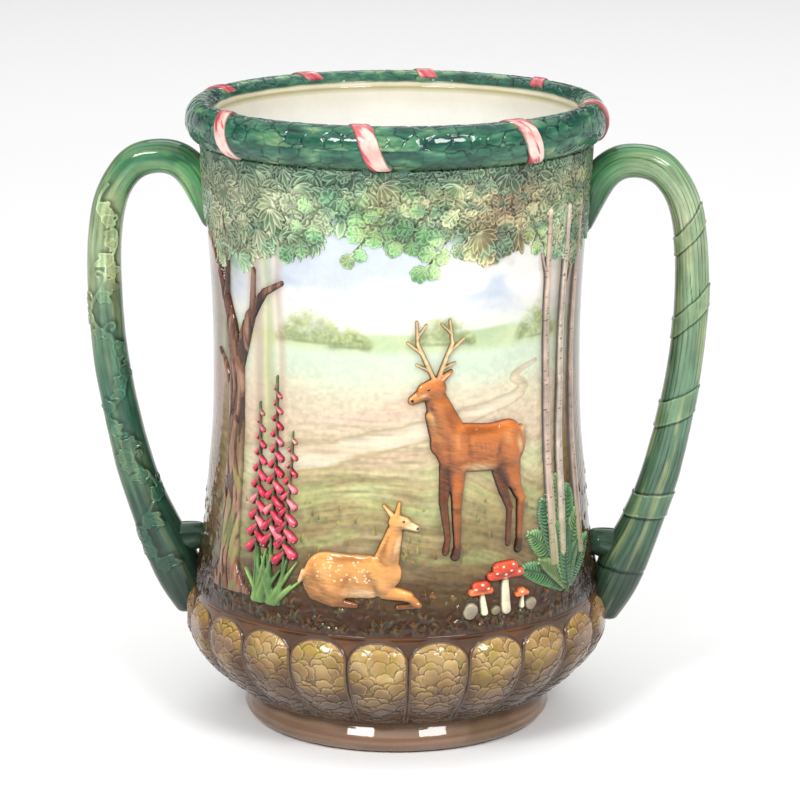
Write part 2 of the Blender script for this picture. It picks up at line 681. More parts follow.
# deeper tone on both flanks, where the handles stand
azim = np.abs((np.degrees(wall.U / R0) - 3.5 + 180) % 360 - 180)
flank = step(50, 74, azim + 10 * (fbm(wall.U, wall.V, 30, 60, 85, 2) - 0.5)) * \
    step(130, 106, azim)
wall.C *= 1 - flank[..., None] * np.array([0.28, 0.33, 0.37], f4) * \
    (0.55 + 0.45 * step(176, 150, wall.V))[..., None]
azs = (np.degrees(wall.U / R0) - 3.5 + 180) % 360 - 180
wall.C *= 1 - (step(46, 66, azs) * step(134, 112, azs))[..., None] * \
    np.array([0.21, 0.27, 0.30], f4)
grain = blur(fbm(wall.U, wall.V, 1.8, 1.8, 83, 2), 1, True, 1)
wall.H += (grain - 0.5) * 0.16 * step(116, 84, wall.V) * (1 - sh)
wall.H += (grain - 0.5) * 0.03

# =============================================================== leaf canopy
DL = PERIOD / 1800
leaf = Sheet(-PERIOD / 4, 158.0, DL, 1800, int((202.0 - 158.0) / DL) + 1,
             ring=True)


def lower_edge(u):
    # how low the foliage hangs round the cup
    base = 188.0 - 5.5 * (fbm(np.asarray(u, f4), 0, 34, 10, 91, 3) - 0.5) * 2
    for cam, depth, w in ((-57, 21, 22), (-30, 7, 12), (5, 6, 9), (27, 17, 15),
                          (62, 19, 19), (90, 12, 16), (122, 17, 18),
                          (150, 8, 12), (178, 15, 14), (206, 8, 10),
                          (229, 19, 20), (256, 13, 14)):
        d = (np.asarray(u) - u_of(cam) + PERIOD / 2) % PERIOD - PERIOD / 2
        base = base - depth * np.exp(-(d / w) ** 2)
    return base


def foliage_wash(U, V):
    # watercolour of the foliage by place: two tones for each azimuth
    k = np.degrees(U / R0) - 3.5
    k = np.where(k < -90, k + 360, k)
    keys = [(-90, (92, 110, 78), (138, 146, 106)),
            (-58, (110, 126, 92), (160, 166, 128)),
            (-38, (128, 152, 110), (198, 210, 164)),
            (-20, (104, 154, 112), (188, 212, 164)),
            (-4, (108, 146, 84), (186, 200, 132)),
            (10, (116, 168, 112), (206, 226, 172)),
            (22, (138, 136, 90), (204, 204, 148)),
            (33, (120, 96, 68), (180, 158, 114)),
            (46, (128, 138, 92), (190, 200, 146)),
            (58, (126, 158, 100), (202, 212, 162)),
            (72, (96, 124, 78), (160, 172, 122)),
            (95, (98, 126, 80), (152, 166, 112)),
            (122, (112, 92, 62), (170, 156, 104)),
            (142, (96, 140, 88), (172, 192, 126)),
            (165, (108, 138, 82), (182, 194, 126)),
            (188, (88, 130, 92), (160, 184, 130)),
            (212, (104, 124, 84), (160, 170, 118)),
            (232, (118, 104, 70), (170, 160, 110)),
            (252, (100, 122, 84), (150, 158, 114)),
            (270, (104, 122, 84), (146, 152, 110))]
    a = np.stack([np.interp(k, [q[0] for q in keys], [q[1][i] for q in keys])
                  for i in range(3)], -1).astype(f4) / 255
    b = np.stack([np.interp(k, [q[0] for q in keys], [q[2][i] for q in keys])
                  for i in range(3)], -1).astype(f4) / 255
    n = fbm(U, V, 9, 7, 95, 3)
    c = mix(a, b, step(0.36, 0.64, n)[..., None])
    # mint in the lower sprays, moss and brown touches, deep green on top
    m = fbm(U, V, 13, 8, 96, 2)
    c = mix(c, rgb(150, 204, 160), (step(0.52, 0.64, m) * step(190, 178, V)
                                    * 0.55)[..., None])
    c = mix(c, rgb(150, 128, 84), (step(0.60, 0.72, fbm(U, V, 15, 8, 98, 2))
                                   * 0.4)[..., None])
    c = mix(c, rgb(58, 110, 82), (step(0.57, 0.68, fbm(U, V, 8, 5, 99, 2))
                                  * 0.5)[..., None])
    top = step(192, 201, V + 3 * (fbm(U, V, 12, 5, 94) - 0.5))
    return mix(c, rgb(38, 86, 66), (top * 0.62)[..., None])


def stamp_leaf(s, u, v, ang, size, kind, col, r, base, edge=None, wash=None,
               lift=0.32):
    """A raised leaf with a pale slip-trailed outline and mid vein."""
    rr = size * 1.12
    w = s.near(u - rr, u + rr, v - rr, v + rr)
    if w is None:
        return
    at, x, y = w
    x, y = x - u, y - v
    c, sn = math.cos(ang), math.sin(ang)
    lx, ly = x * c + y * sn, -x * sn + y * c
    L = size
    if kind == "oak":
        # round lobes in pairs along the rib and one at the tip
        d = 0.17 * L - np.hypot(lx - 0.80 * L, ly)
        q, t = segment(lx, ly, (0.05 * L, 0), (0.80 * L, 0))
        d = np.maximum(d, (0.05 + 0.07 * t) * L - q)
        vein = np.exp(-(q / 0.17) ** 2)
        for f, o, g in ((0.24, 0.20, 0.095), (0.44, 0.27, 0.12),
                        (0.64, 0.25, 0.12)):
            q, t = segment(lx, np.abs(ly), (f * L, 0),
                           ((f + 0.11) * L, o * L))
            d = np.maximum(d, (0.06 + (g - 0.06) * t) * L - q)
            vein = np.maximum(vein, 0.6 * np.exp(-(q / 0.14) ** 2) * (t < 0.9))
    elif kind == "fan":
        d = np.full(lx.shape, -9.0, f4)
        vein = np.zeros(lx.shape, f4)
        k = 5 if r.random() < 0.6 else 7
        for i in range(k):
            a = (i - (k - 1) / 2) * (0.44 if k == 5 else 0.34)
            ca, sa = math.cos(a), math.sin(a)
            px, py = lx * ca + ly * sa, -lx * sa + ly * ca
            Li = L * (1 - 0.30 * abs(a) / 1.1)
            t = np.clip(px / Li, 0, 1)
            wd = Li * 0.14 * np.sin(3.1415 * t ** 1.25) ** 0.8
            dd = np.where((px < 0) | (px > Li), -np.hypot(
                np.minimum(px, 0) + np.maximum(px - Li, 0), py),
                wd - np.abs(py))
            vein = np.where(dd > d, np.exp(-(py / 0.16) ** 2), vein)
            d = np.maximum(d, dd)
    else:
        t = np.clip(lx / L, 0, 1)
        wd = L * 0.22 * np.sin(3.1415 * t ** 0.8) ** 0.8
        d = np.where((lx < 0) | (lx > L), -np.hypot(
            np.minimum(lx, 0) + np.maximum(lx - L, 0), ly), wd - np.abs(ly))
        vein = np.exp(-(ly / 0.16) ** 2)
    # shade round the leaf
    body = col if wash is None else wash[at] * col
    m_out = step(-1.1, 0.0, d) * (1 - step(0.0, 0.2, d))
    s.C[at] = s.C[at] * (1 - 0.22 * m_out[..., None])
    m = step(-0.12, 0.12, d)
    rim = np.exp(-((d - 0.22) / 0.19) ** 2)
    inner = step(0.4, 1.4, d)
    tone = body * (0.90 + 0.20 * step(0, L, lx))[..., None]
    tone = tone * (1 - 0.12 * inner[..., None])
    if edge is None:
        pale = mix(body, rgb(240, 240, 216), 0.50)
    else:
        pale = edge + 0 * tone
    cc = mix(tone, pale, np.clip(rim * 0.8 + vein * inner * 0.35,
                                 0, 1)[..., None])
    s.paint(at, m * 0.97, cc)
    hh = base + 0.24 * step(0, 0.5, d) + lift * 1.15 * rim + \
        0.14 * vein * inner - 0.18 * inner
    s.H[at] = mix(s.H[at], hh, m)
    s.A[at] = np.maximum(s.A[at], m)


def grow_canopy(s, wash):
    r = np.random.default_rng(8)
    leaves = []
    for k in range(1500):
        u = r.uniform(-PERIOD / 4, PERIOD * 3 / 4)
        lo = float(lower_edge(u))
        v = lo + (201.5 - lo) * r.random() ** 0.85
        if k % 8 == 0:
            v = r.uniform(202, 208)
        leaves.append((v, u, lo))
    leaves.sort(key=lambda p: p[0] + r.normal(0, 4), reverse=True)
    one = np.ones(3, f4)
    for v, u, lo in leaves:
        k = (math.degrees(u / R0) - 3.5 + 90) % 360 - 90
        fan_place = k < -24 or 196 < k
        fan = (fan_place and r.random() < 0.72) or r.random() < 0.08
        kind = "fan" if fan else ("oak" if r.random() < 0.88 else "plain")
        size = r.uniform(7.0, 10.0) if fan else r.uniform(6.4, 9.4)
        ang = -math.pi / 2 + r.normal(0, 0.8)
        stamp_leaf(s, u, v, ang, size, kind, one * r.uniform(0.86, 1.10), r,
                   0.10 + 0.30 * r.random(), wash=wash,
                   lift=0.28 + 0.22 * r.random())
    # a few sprays that hang free against the sky
    for cam, v0, ln, side in ((-22, 186, 13, -1), (-12, 188, 12, 1),
                              (-3, 185, 14, -1), (10, 186, 11, -1),
                              (16, 178, 10, -1), (42, 180, 9, 1),
                              (106, 182, 12, -1), (140, 184, 14, 1),
                              (164, 182, 13, -1), (192, 186, 12, 1),
                              (244, 182, 12, -1)):
        u = u_of(cam)
        p = np.array([(u, v0 + 4), (u + side * ln * 0.3, v0 - ln * 0.25),
                      (u + side * ln * 0.75, v0 - ln * 0.75)])
        w = s.near(p[:, 0].min() - 1, p[:, 0].max() + 1,
                   p[:, 1].min() - 1, p[:, 1].max() + 1)
        if w is None:
            continue
        at, x, y = w
        m = np.zeros(x.shape, f4)
        for a_, b_ in zip(p[:-1], p[1:]):
            d, t = segment(x, y, a_, b_)
            m = np.maximum(m, step(0.5, 0.2, d))
        s.paint(at, m, rgb(136, 140, 96))
        s.H[at] = np.maximum(s.H[at], 0.3 * m)
        s.A[at] = np.maximum(s.A[at], m)
        for j, f in enumerate((0.15, 0.38, 0.6, 0.82, 1.0)):
            q = p[0] + (p[1] - p[0]) * min(f * 2, 1) if f < 0.5 else \
                p[1] + (p[2] - p[1]) * (f * 2 - 1)
            a = math.atan2(p[2][1] - p[1][1], p[2][0] - p[1][0]) + \
                (0.0 if f == 1.0 else (0.8 if j % 2 else -0.8)) + \
                r.normal(0, 0.15)
            stamp_leaf(s, q[0], q[1], a, r.uniform(6.2, 8.2), "oak",
                       rgb(214, 240, 214) * 1.1, r, 0.08, wash=wash,
                       lift=0.3)


leaf_wash = foliage_wash(leaf.U, leaf.V)
leaf.C[:] = leaf_wash * 0.8
grow_canopy(leaf, leaf_wash)
# soft foliage washes behind the relief leaves
lo_w = lower_edge(wall.u)[None, :]
wash_n = fbm(wall.U, wall.V, 9, 6, 97, 4)
a_w = step(-7, 7, wall.V - lo_w + 15 * (wash_n - 0.5))
w_col = foliage_wash(wall.U, wall.V) * 0.98
wall.C += (w_col - wall.C) * (a_w * 0.82)[..., None]


def pooled(s, gain=0.55, wrap=True, lift=0.35):
    # glaze lies darker in hollows and thin and pale on ridges
    d = s.H - blur(s.H, max(int(round(0.9 / s.du)), 1), wrap)
    s.C *= np.clip(1 + gain * np.minimum(d, 0) * 2.2 +
                   lift * np.maximum(d, 0), 0.45, 1.3)[..., None]


# deeper foliage in two places of the front and on the far side
azl = (np.degrees(leaf.U / R0) - 3.5 + 180) % 360 - 180
leaf.C *= (1 - 0.10 * np.exp(-((azl - 2) / 11.0) ** 2) -
           0.13 * step(52, 66, azl) - 0.10 * step(-150, -165, azl)
           )[..., None]
pooled(leaf, 0.5)
pooled(wall, 0.8)


# ========================================================== relief motifs
def sculpt(s, prims, edge=0.30, k=0.75, blend=1.1):
    """Raised figure from tapered rounds: each prim is two points with a half
    width and a height, and a colour. Fills H, A and C."""
    x, y = s.U, s.V
    H = np.zeros(x.shape, f4)
    sd = np.full(x.shape, 9.0, f4)
    wsum = np.full(x.shape, 1e-6, f4)
    csum = np.zeros(x.shape + (3,), f4)
    for (x0, y0, r0, x1, y1, r1, h, col) in prims:
        d, t = segment(x, y, (x0, y0), (x1, y1))
        r = r0 + (r1 - r0) * t
        q = d / r
        hh = h * np.sqrt(np.maximum(0, 1 - q * q))
        both = np.maximum(k - np.abs(H - hh), 0) ** 2 / (4 * k) * \
            (hh > 0) * (H > 0)
        H = np.maximum(H, hh) + both
        e = d - r
        sd = np.minimum(sd, e)
        wgt = np.exp(-np.clip(e, -4, 6) / blend)
        wsum += wgt
        csum += wgt[..., None] * rgb(*col)
    s.H[:] = H + edge * step(0.0, -0.5, sd)
    s.A[:] = step(0.12, -0.12, sd)
    s.C[:] = csum / wsum[..., None]
    # brushed shading that follows the form, and loose strokes over it
    soft = blur(H, max(int(0.8 / s.du), 1))
    gy, gx = np.gradient(soft, s.du)
    nl = (gx * 0.45 - gy * 0.62 + 0.64) / np.sqrt(gx * gx + gy * gy + 1)
    s.C *= (1 + np.clip((nl - 0.64) * 0.55, -0.34, 0.26))[..., None]
    p = fbm(s.U + 200, s.V + 200, 5, 3.5, 195, 3, period=400.0)
    s.C *= (1 + (p - 0.5) * 0.34)[..., None]
    s.C *= (1 - 0.30 * step(-0.75, 0.0, sd))[..., None]
    return sd


def local_sheet(w, h, du=0.22, up=0.0):
    nu = int(2 * w / du) + 1
    nv = int((h + 3 + up) / du) + 1
    return Sheet(-w, -2.0 - up, du, nu, nv)


def fur(s, seed, amount=0.10, ang=0.0, cu=3.0, cv=0.5):
    c, sn = math.cos(ang), math.sin(ang)
    a = s.U * c + s.V * sn
    b = -s.U * sn + s.V * c
    n = fbm(a + 200, b + 200, cu, cv, seed, 3, period=400.0)
    s.C *= (1 + (n - 0.5) * 2 * amount)[..., None]
    s.H += (n - 0.5) * 0.14 * (s.A > 0.5)


def spot(s, x, y, r, col, a=1.0, h=0.0):
    s.dab(x, y, r, r, 0, rgb(*col), a, 0.5, h)


RUS, OCH, DRK, LIT = (168, 92, 44), (196, 134, 74), (92, 52, 30), \
    (226, 196, 152)
ANT = (206, 178, 132)


def stag_sheet():
    s = local_sheet(27, 84)
    P = [
        # far legs first, darker
        (-9, 31, 2.9, -10.6, 19, 1.6, 0.6, DRK), (-10.6, 19, 1.6, -9.4, 7, 1.1, 0.5, DRK),
        (-9.4, 7, 1.1, -10.2, 2.4, 1.2, 0.5, DRK),
        (10.5, 30, 4.2, 11.3, 21, 2.0, 0.7, DRK), (11.3, 21, 1.9, 13.4, 15, 1.4, 0.6, DRK),
        (13.4, 15, 1.3, 12.2, 3.0, 1.1, 0.5, DRK),
        # body
        (-5, 37, 8.2, 6, 36.4, 7.7, 1.45, RUS), (6, 36.4, 7.6, 13.4, 37.4, 7.2, 1.45, RUS),
        (13.4, 37.6, 7.0, 15.3, 35.5, 6.2, 1.4, RUS),
        (-6.5, 36, 7.4, -10, 38.6, 5.0, 1.4, RUS),
        (-3, 31.5, 3.0, 8, 30.3, 2.4, 0.9, OCH),
        (-8.6, 42, 6.2, -12.6, 53, 4.0, 1.45, (150, 84, 42)),
        (-11.5, 40.5, 3.4, -14.2, 48, 2.4, 1.2, OCH),
        (-13, 57.2, 3.9, -16.4, 56.2, 3.1, 1.5, RUS),
        (-16.4, 55.8, 2.8, -20.8, 53.4, 1.6, 1.25, OCH),
        (-11.3, 59.8, 1.7, -7.6, 62.6, 0.8, 1.1, RUS),
        # muscles of shoulder, haunch and neck
        (-5.6, 41.0, 4.2, -5.4, 34.5, 3.6, 1.95, (184, 108, 56)),
        (12.6, 39.4, 4.8, 14.6, 33.0, 4.4, 1.95, (186, 110, 58)),
        (-9.4, 44.0, 3.6, -12.0, 51.5, 2.6, 1.8, (166, 96, 50)),
        (2.5, 38.5, 5.0, 6.5, 37.5, 5.0, 1.72, RUS),
        # legs
        (-5.5, 31, 3.5, -6.1, 18, 1.8, 1.2, RUS), (-6.1, 18, 1.9, -6.3, 4.6, 1.25, 0.95, (140, 78, 40)),
        (-6.3, 3.4, 1.4, -6.9, 0.8, 1.7, 0.9, (60, 40, 28)),
        (13.4, 33, 6.2, 15.4, 24, 3.3, 1.45, RUS), (15.4, 24, 2.9, 18.2, 17.4, 1.8, 1.2, RUS),
        (18.2, 17.4, 1.8, 16.7, 5, 1.25, 0.95, (140, 78, 40)),
        (16.7, 3.4, 1.4, 16.2, 0.8, 1.7, 0.9, (60, 40, 28)),
        (19.6, 40.4, 1.7, 20.6, 36, 1.1, 0.9, LIT),
        # antlers
        (-13.6, 60.4, 1.05, -16.2, 66, 0.95, 0.75, ANT), (-16.2, 66, 0.95, -19.0, 72, 0.8, 0.7, ANT),
        (-19.0, 72, 0.8, -19.4, 79.5, 0.55, 0.6, ANT), (-14.8, 63, 0.85, -19.4, 65.2, 0.5, 0.6, ANT),
        (-17.3, 68.6, 0.8, -22.4, 72.6, 0.5, 0.6, ANT), (-19.2, 74, 0.7, -16.2, 78.4, 0.5, 0.55, ANT),
        (-11.8, 60.8, 1.05, -9.6, 66.4, 0.95, 0.75, ANT), (-9.6, 66.4, 0.95, -7.2, 72, 0.8, 0.7, ANT),
        (-7.2, 72, 0.8, -8.2, 79.8, 0.55, 0.6, ANT), (-10.8, 63.6, 0.85, -6.2, 65.4, 0.5, 0.6, ANT),
        (-8.4, 69, 0.8, -3.2, 73.4, 0.5, 0.6, ANT), (-7.4, 75, 0.7, -11.0, 78.6, 0.5, 0.55, ANT),
    ]
    sculpt(s, P)
    m = (s.V < 60) * 1.0
    s.C += (rgb(206, 128, 66) - s.C) * (0.45 * step(1.1, 1.9, s.H) * m)[..., None]
    s.dab(3, 42.2, 13, 2.2, 0.0, rgb(112, 58, 32), 0.5, 1.0)
    s.dab(2, 30.0, 9, 2.0, -0.08, rgb(234, 210, 170), 0.7, 1.0)
    s.dab(18.2, 35.8, 2.2, 4.8, 0.2, rgb(234, 206, 164), 0.7, 1.0)
    s.dab(-8.2, 46, 1.8, 6.5, 0.4, rgb(118, 62, 32), 0.5, 1.0)
    s.dab(-14.2, 47.5, 1.7, 5.0, 0.32, rgb(232, 196, 146), 0.6, 1.0)
    s.dab(-5.9, 39.5, 2.0, 4.6, 0.1, rgb(222, 152, 92), 0.55, 1.0)
    s.dab(13.0, 38.6, 2.8, 3.8, 0.1, rgb(224, 156, 96), 0.55, 1.0)
    s.dab(-1.2, 35.0, 1.5, 5.4, 0.1, rgb(120, 60, 32), 0.5, 1.0)
    s.dab(9.2, 34.4, 1.5, 5.0, -0.2, rgb(120, 60, 32), 0.5, 1.0)
    s.dab(4.0, 36.0, 2.6, 2.6, 0.1, rgb(196, 116, 62), 0.5, 1.0)
    s.dab(-17.4, 55.0, 2.6, 1.0, 0.35, rgb(238, 214, 178), 0.6, 1.0)
    for k in range(5):
        s.stroke([(0.4 + 1.7 * k, 38.6 - 0.2 * k), (1.2 + 1.7 * k, 34.4)],
                 0.30, 0.12, rgb(128, 66, 34), 0.35, 0.9)
    fur(s, 201, 0.07, -0.30, 2.0, 0.45)
    spot(s, -15.6, 57.2, 0.62, (22, 16, 14), 1.0, 0.15)
    spot(s, -15.8, 57.45, 0.2, (240, 240, 235), 1.0)
    spot(s, -20.9, 53.4, 0.75, (36, 26, 24), 0.95)
    s.stroke([(-20.6, 52.5), (-18.6, 53.0)], 0.14, 0.1, rgb(60, 34, 24), 0.8)
    s.stroke([(-10.8, 60.2), (-8.4, 62.1)], 0.5, 0.2, rgb(226, 180, 140), 0.8)
    return s


def doe_sheet():
    s = local_sheet(24, 38)
    O2 = (206, 146, 84)
    P = [
        (-14, 5, 3.2, -8, 2.4, 2.0, 1.0, OCH), (-8, 2.4, 1.9, -1, 1.6, 1.2, 0.8, DRK),
        (-11, 11, 7.8, 3, 11.3, 7.3, 1.5, O2), (3, 11.3, 7.2, 8, 12.6, 5.8, 1.45, O2),
        (-12.2, 9.2, 7.2, -9, 7.6, 6.4, 1.55, OCH),
        (8.4, 16, 4.5, 11.4, 26.6, 2.8, 1.35, O2),
        (12, 29.6, 3.0, 14.4, 29.2, 2.4, 1.4, O2), (14.4, 29, 2.2, 18.4, 27.4, 1.3, 1.15, LIT),
        (10.6, 31.6, 1.2, 7.8, 35.0, 0.7, 0.9, OCH), (12.2, 32.2, 1.2, 12.8, 35.8, 0.7, 0.9, OCH),
        (-10.6, 12.0, 5.4, -9.0, 8.4, 4.4, 1.95, (214, 158, 98)),
        (6.2, 13.0, 3.8, 7.6, 9.0, 3.2, 1.9, (214, 158, 98)),
        (9.2, 18.0, 2.8, 11.0, 24.0, 1.9, 1.65, (204, 146, 88)),
        (8, 6.6, 2.8, 15.6, 4.8, 1.9, 1.15, OCH), (15.6, 4.8, 1.8, 18.8, 2.0, 1.3, 1.0, OCH),
        (18.8, 1.9, 1.2, 12.4, 1.4, 1.1, 0.8, DRK), (-18.6, 11, 1.5, -20.0, 8.0, 1.0, 0.9, LIT),
    ]
    sculpt(s, P)
    s.dab(-3, 17.2, 14, 2.0, 0.02, rgb(140, 82, 42), 0.55, 1.0)
    s.dab(1, 6.0, 9, 2.4, 0.0, rgb(240, 216, 178), 0.7, 1.0)
    s.dab(12.2, 22, 1.5, 5.5, -0.25, rgb(242, 216, 176), 0.6, 1.0)
    s.dab(8.0, 20, 1.5, 6.0, -0.25, rgb(150, 90, 48), 0.5, 1.0)
    s.dab(-4.2, 9.6, 1.5, 4.6, -0.5, rgb(146, 86, 44), 0.5, 1.0)
    s.dab(3.0, 11.2, 1.4, 4.6, 0.15, rgb(150, 90, 48), 0.45, 1.0)
    s.dab(-10.8, 12.0, 3.2, 2.8, 0.2, rgb(232, 182, 122), 0.5, 1.0)
    s.dab(-12.0, 3.4, 3.4, 1.2, -0.3, rgb(130, 76, 42), 0.4, 1.0)
    s.dab(15.8, 28.0, 2.0, 0.8, -0.4, rgb(246, 228, 198), 0.6, 1.0)
    fur(s, 211, 0.06, -0.12, 2.0, 0.45)
    r = np.random.default_rng(3)
    for k in range(34):
        t = r.uniform(-15, 5)
        spot(s, t, 12.5 + r.uniform(-3.5, 4.0), 0.42, (246, 230, 200), 0.8, .05)
    spot(s, 14.2, 30.1, 0.58, (24, 16, 14), 1.0, 0.12)
    spot(s, 14.05, 30.35, 0.2, (240, 240, 235), 1.0)
    spot(s, 18.7, 27.5, 0.65, (40, 28, 24), 0.95)
    s.stroke([(10.4, 32), (8.4, 34.4)], 0.42, 0.2, rgb(232, 186, 150), 0.8)
    return s


def hare_sheet():
    s = local_sheet(14, 30)
    B, B2 = (158, 116, 76), (186, 144, 98)
    P = [
        (-4, 1.8, 1.6, 2.4, 1.4, 1.2, 0.8, B2), (-4, 7.2, 6.2, -3, 7.8, 6.0, 1.5, B),
        (-2, 8.6, 5.8, 4, 10.6, 4.4, 1.4, B), (4.8, 8, 3.6, 5.6, 4.4, 2.3, 1.3, B2),
        (6, 16, 3.4, 8.4, 15.2, 2.4, 1.45, B), (5.0, 12.5, 3.2, 6, 15, 3.0, 1.35, B),
        (4.6, 18.6, 1.2, 3.0, 26.6, 0.75, 0.9, B), (6.2, 19, 1.1, 6.2, 27.4, 0.7, 0.85, B),
        (6, 6, 1.6, 7.4, 1.2, 1.2, 0.95, B2), (-9.6, 6.0, 1.8, -10.2, 5.4, 1.5, 1.1, (238, 226, 204)),
    ]
    sculpt(s, P)
    s.dab(-4.5, 9.5, 3.2, 3.0, 0.2, rgb(196, 156, 110), 0.5, 1.0)
    s.dab(0.6, 6.8, 1.2, 4.0, -0.4, rgb(112, 78, 48), 0.5, 1.0)
    s.dab(-4.0, 13.0, 5.0, 1.3, 0.2, rgb(118, 84, 52), 0.45, 1.0)
    fur(s, 221, 0.08, 0.3, 1.8, 0.45)
    spot(s, 7.8, 16.3, 0.6, (22, 16, 14), 1.0, 0.1)
    spot(s, 7.6, 16.55, 0.2, (240, 240, 235), 1.0)
    spot(s, 10.6, 14.6, 0.45, (150, 80, 70), 0.9)
    s.dab(6.2, 7, 1.6, 3.4, 0, rgb(232, 212, 176), 0.6, 1.0)
    s.stroke([(4.4, 19.5), (3.2, 25.6)], 0.42, 0.25, rgb(222, 170, 140), 0.75)
    return s


def oak_sheet():
    s = local_sheet(27, 128, 0.26)
    B, Bd, Bm = (126, 86, 64), (90, 56, 44), (158, 120, 94)
    P = [
        (0, -1, 8.2, -0.2, 8, 5.8, 1.5, B), (-0.2, 8, 5.8, -0.6, 45, 5.0, 1.6, Bm),
        (-0.6, 45, 5.0, -0.2, 74, 4.6, 1.6, B), (-0.2, 74, 4.6, -3.2, 88, 3.4, 1.4, B),
        (-3.2, 88, 3.2, -9.5, 104, 2.2, 1.2, Bd), (-9.5, 104, 2.0, -17, 116, 1.2, 0.9, Bd),
        (-6, 96, 1.6, -3, 112, 1.0, 0.8, Bd), (-3, 112, 1.0, -4.5, 124, 0.7, 0.6, Bd),
        (1.0, 76, 4.0, 8.6, 92, 2.4, 1.3, B), (8.6, 92, 2.2, 16, 101, 1.5, 1.0, Bd),
        (16, 101, 1.4, 24, 105, 0.9, 0.8, Bd), (9.5, 93, 1.5, 11.5, 108, 0.9, 0.7, Bd),
        (-2.5, 64, 1.7, -9.5, 74, 1.1, 0.9, B), (-9.5, 74, 1.0, -14.5, 77, 0.6, 0.6, Bd),
        (-7, 0.5, 2.6, -2, 7, 2.4, 1.2, B), (7.5, 0, 2.6, 2, 8, 2.6, 1.2, B),
        (-8.5, -0.5, 1.8, -12.5, -1.4, 0.9, 0.7, Bd), (8.5, -0.4, 1.8, 13, -1.4, 0.9, 0.7, Bd),
    ]
    sculpt(s, P, k=0.4)
    n = fbm(s.U + 200 + 1.5 * np.sin(s.V / 6), s.V + 200, 1.3, 9, 231, 3,
            period=400.0)
    lines = step(0.46, 0.36, n)
    s.H -= 0.34 * lines * (s.A > 0.5)
    s.C *= (1 - 0.42 * lines)[..., None]
    s.C += (rgb(190, 158, 132) - s.C) * (0.4 * step(0.58, 0.72, n))[..., None]
    moss = step(0.56, 0.66, fbm(s.U + 300, s.V + 100, 6, 9, 233, 3,
                                period=400.0)) * step(60, 20, s.V)
    s.C += (rgb(128, 142, 72) - s.C) * (0.6 * moss)[..., None]
    s.dab(-2.6, 30, 1.7, 2.3, 0, rgb(54, 34, 28), 0.85, 0.6, -0.5)
    s.dab(1.8, 56, 1.3, 1.8, 0.2, rgb(54, 34, 28), 0.8, 0.6, -0.4)
    return s


def birch_sheet():
    s = local_sheet(15, 120, 0.26)
    W, W2, W3 = (206, 190, 172), (190, 168, 150), (172, 150, 132)
    P = [
        (-9.0, -1, 2.5, -8.9, 60, 2.0, 0.9, W2), (-8.9, 60, 2.0, -10.6, 118, 1.5, 0.7, W2),
        (-4.0, 2, 2.6, -0.4, 60, 2.2, 1.0, W),
        (-0.4, 60, 2.2, 0.9, 118, 1.6, 0.8, W), (9.0, -1, 2.8, 8.5, 60, 2.1, 0.9, W3),
        (8.5, 60, 2.1, 10.9, 118, 1.6, 0.7, W3),
        (-0.2, 84, 0.9, 5.5, 98, 0.5, 0.5, W2), (-9.2, 92, 0.8, -13.5, 104, 0.5, 0.45, W2),
    ]
    sculpt(s, P, edge=0.35)
    r = np.random.default_rng(17)
    for k in range(150):
        t = r.uniform(0, 1)
        b = r.integers(3)
        x0 = [-9.0 - 1.6 * max(t - 0.5, 0) * 2, -4.0 + 4.9 * min(t * 2, 1) * 0.8,
              9.0 + 2 * max(t - 0.5, 0)][b] + r.uniform(-1.2, 1.2)
        s.dab(x0, 118 * t, r.uniform(0.4, 1.3), r.uniform(0.12, 0.3), 0,
              rgb(92, 74, 62), 0.75, 0.6, -0.12)
    n = fbm(s.U + 200, s.V + 200, 0.9, 14, 241, 3, period=400.0)
    s.C *= (1 + (n - 0.5) * 0.35)[..., None]
    s.C += (rgb(150, 150, 96) - s.C) * (0.5 * step(22, 2, s.V))[..., None]
    return s


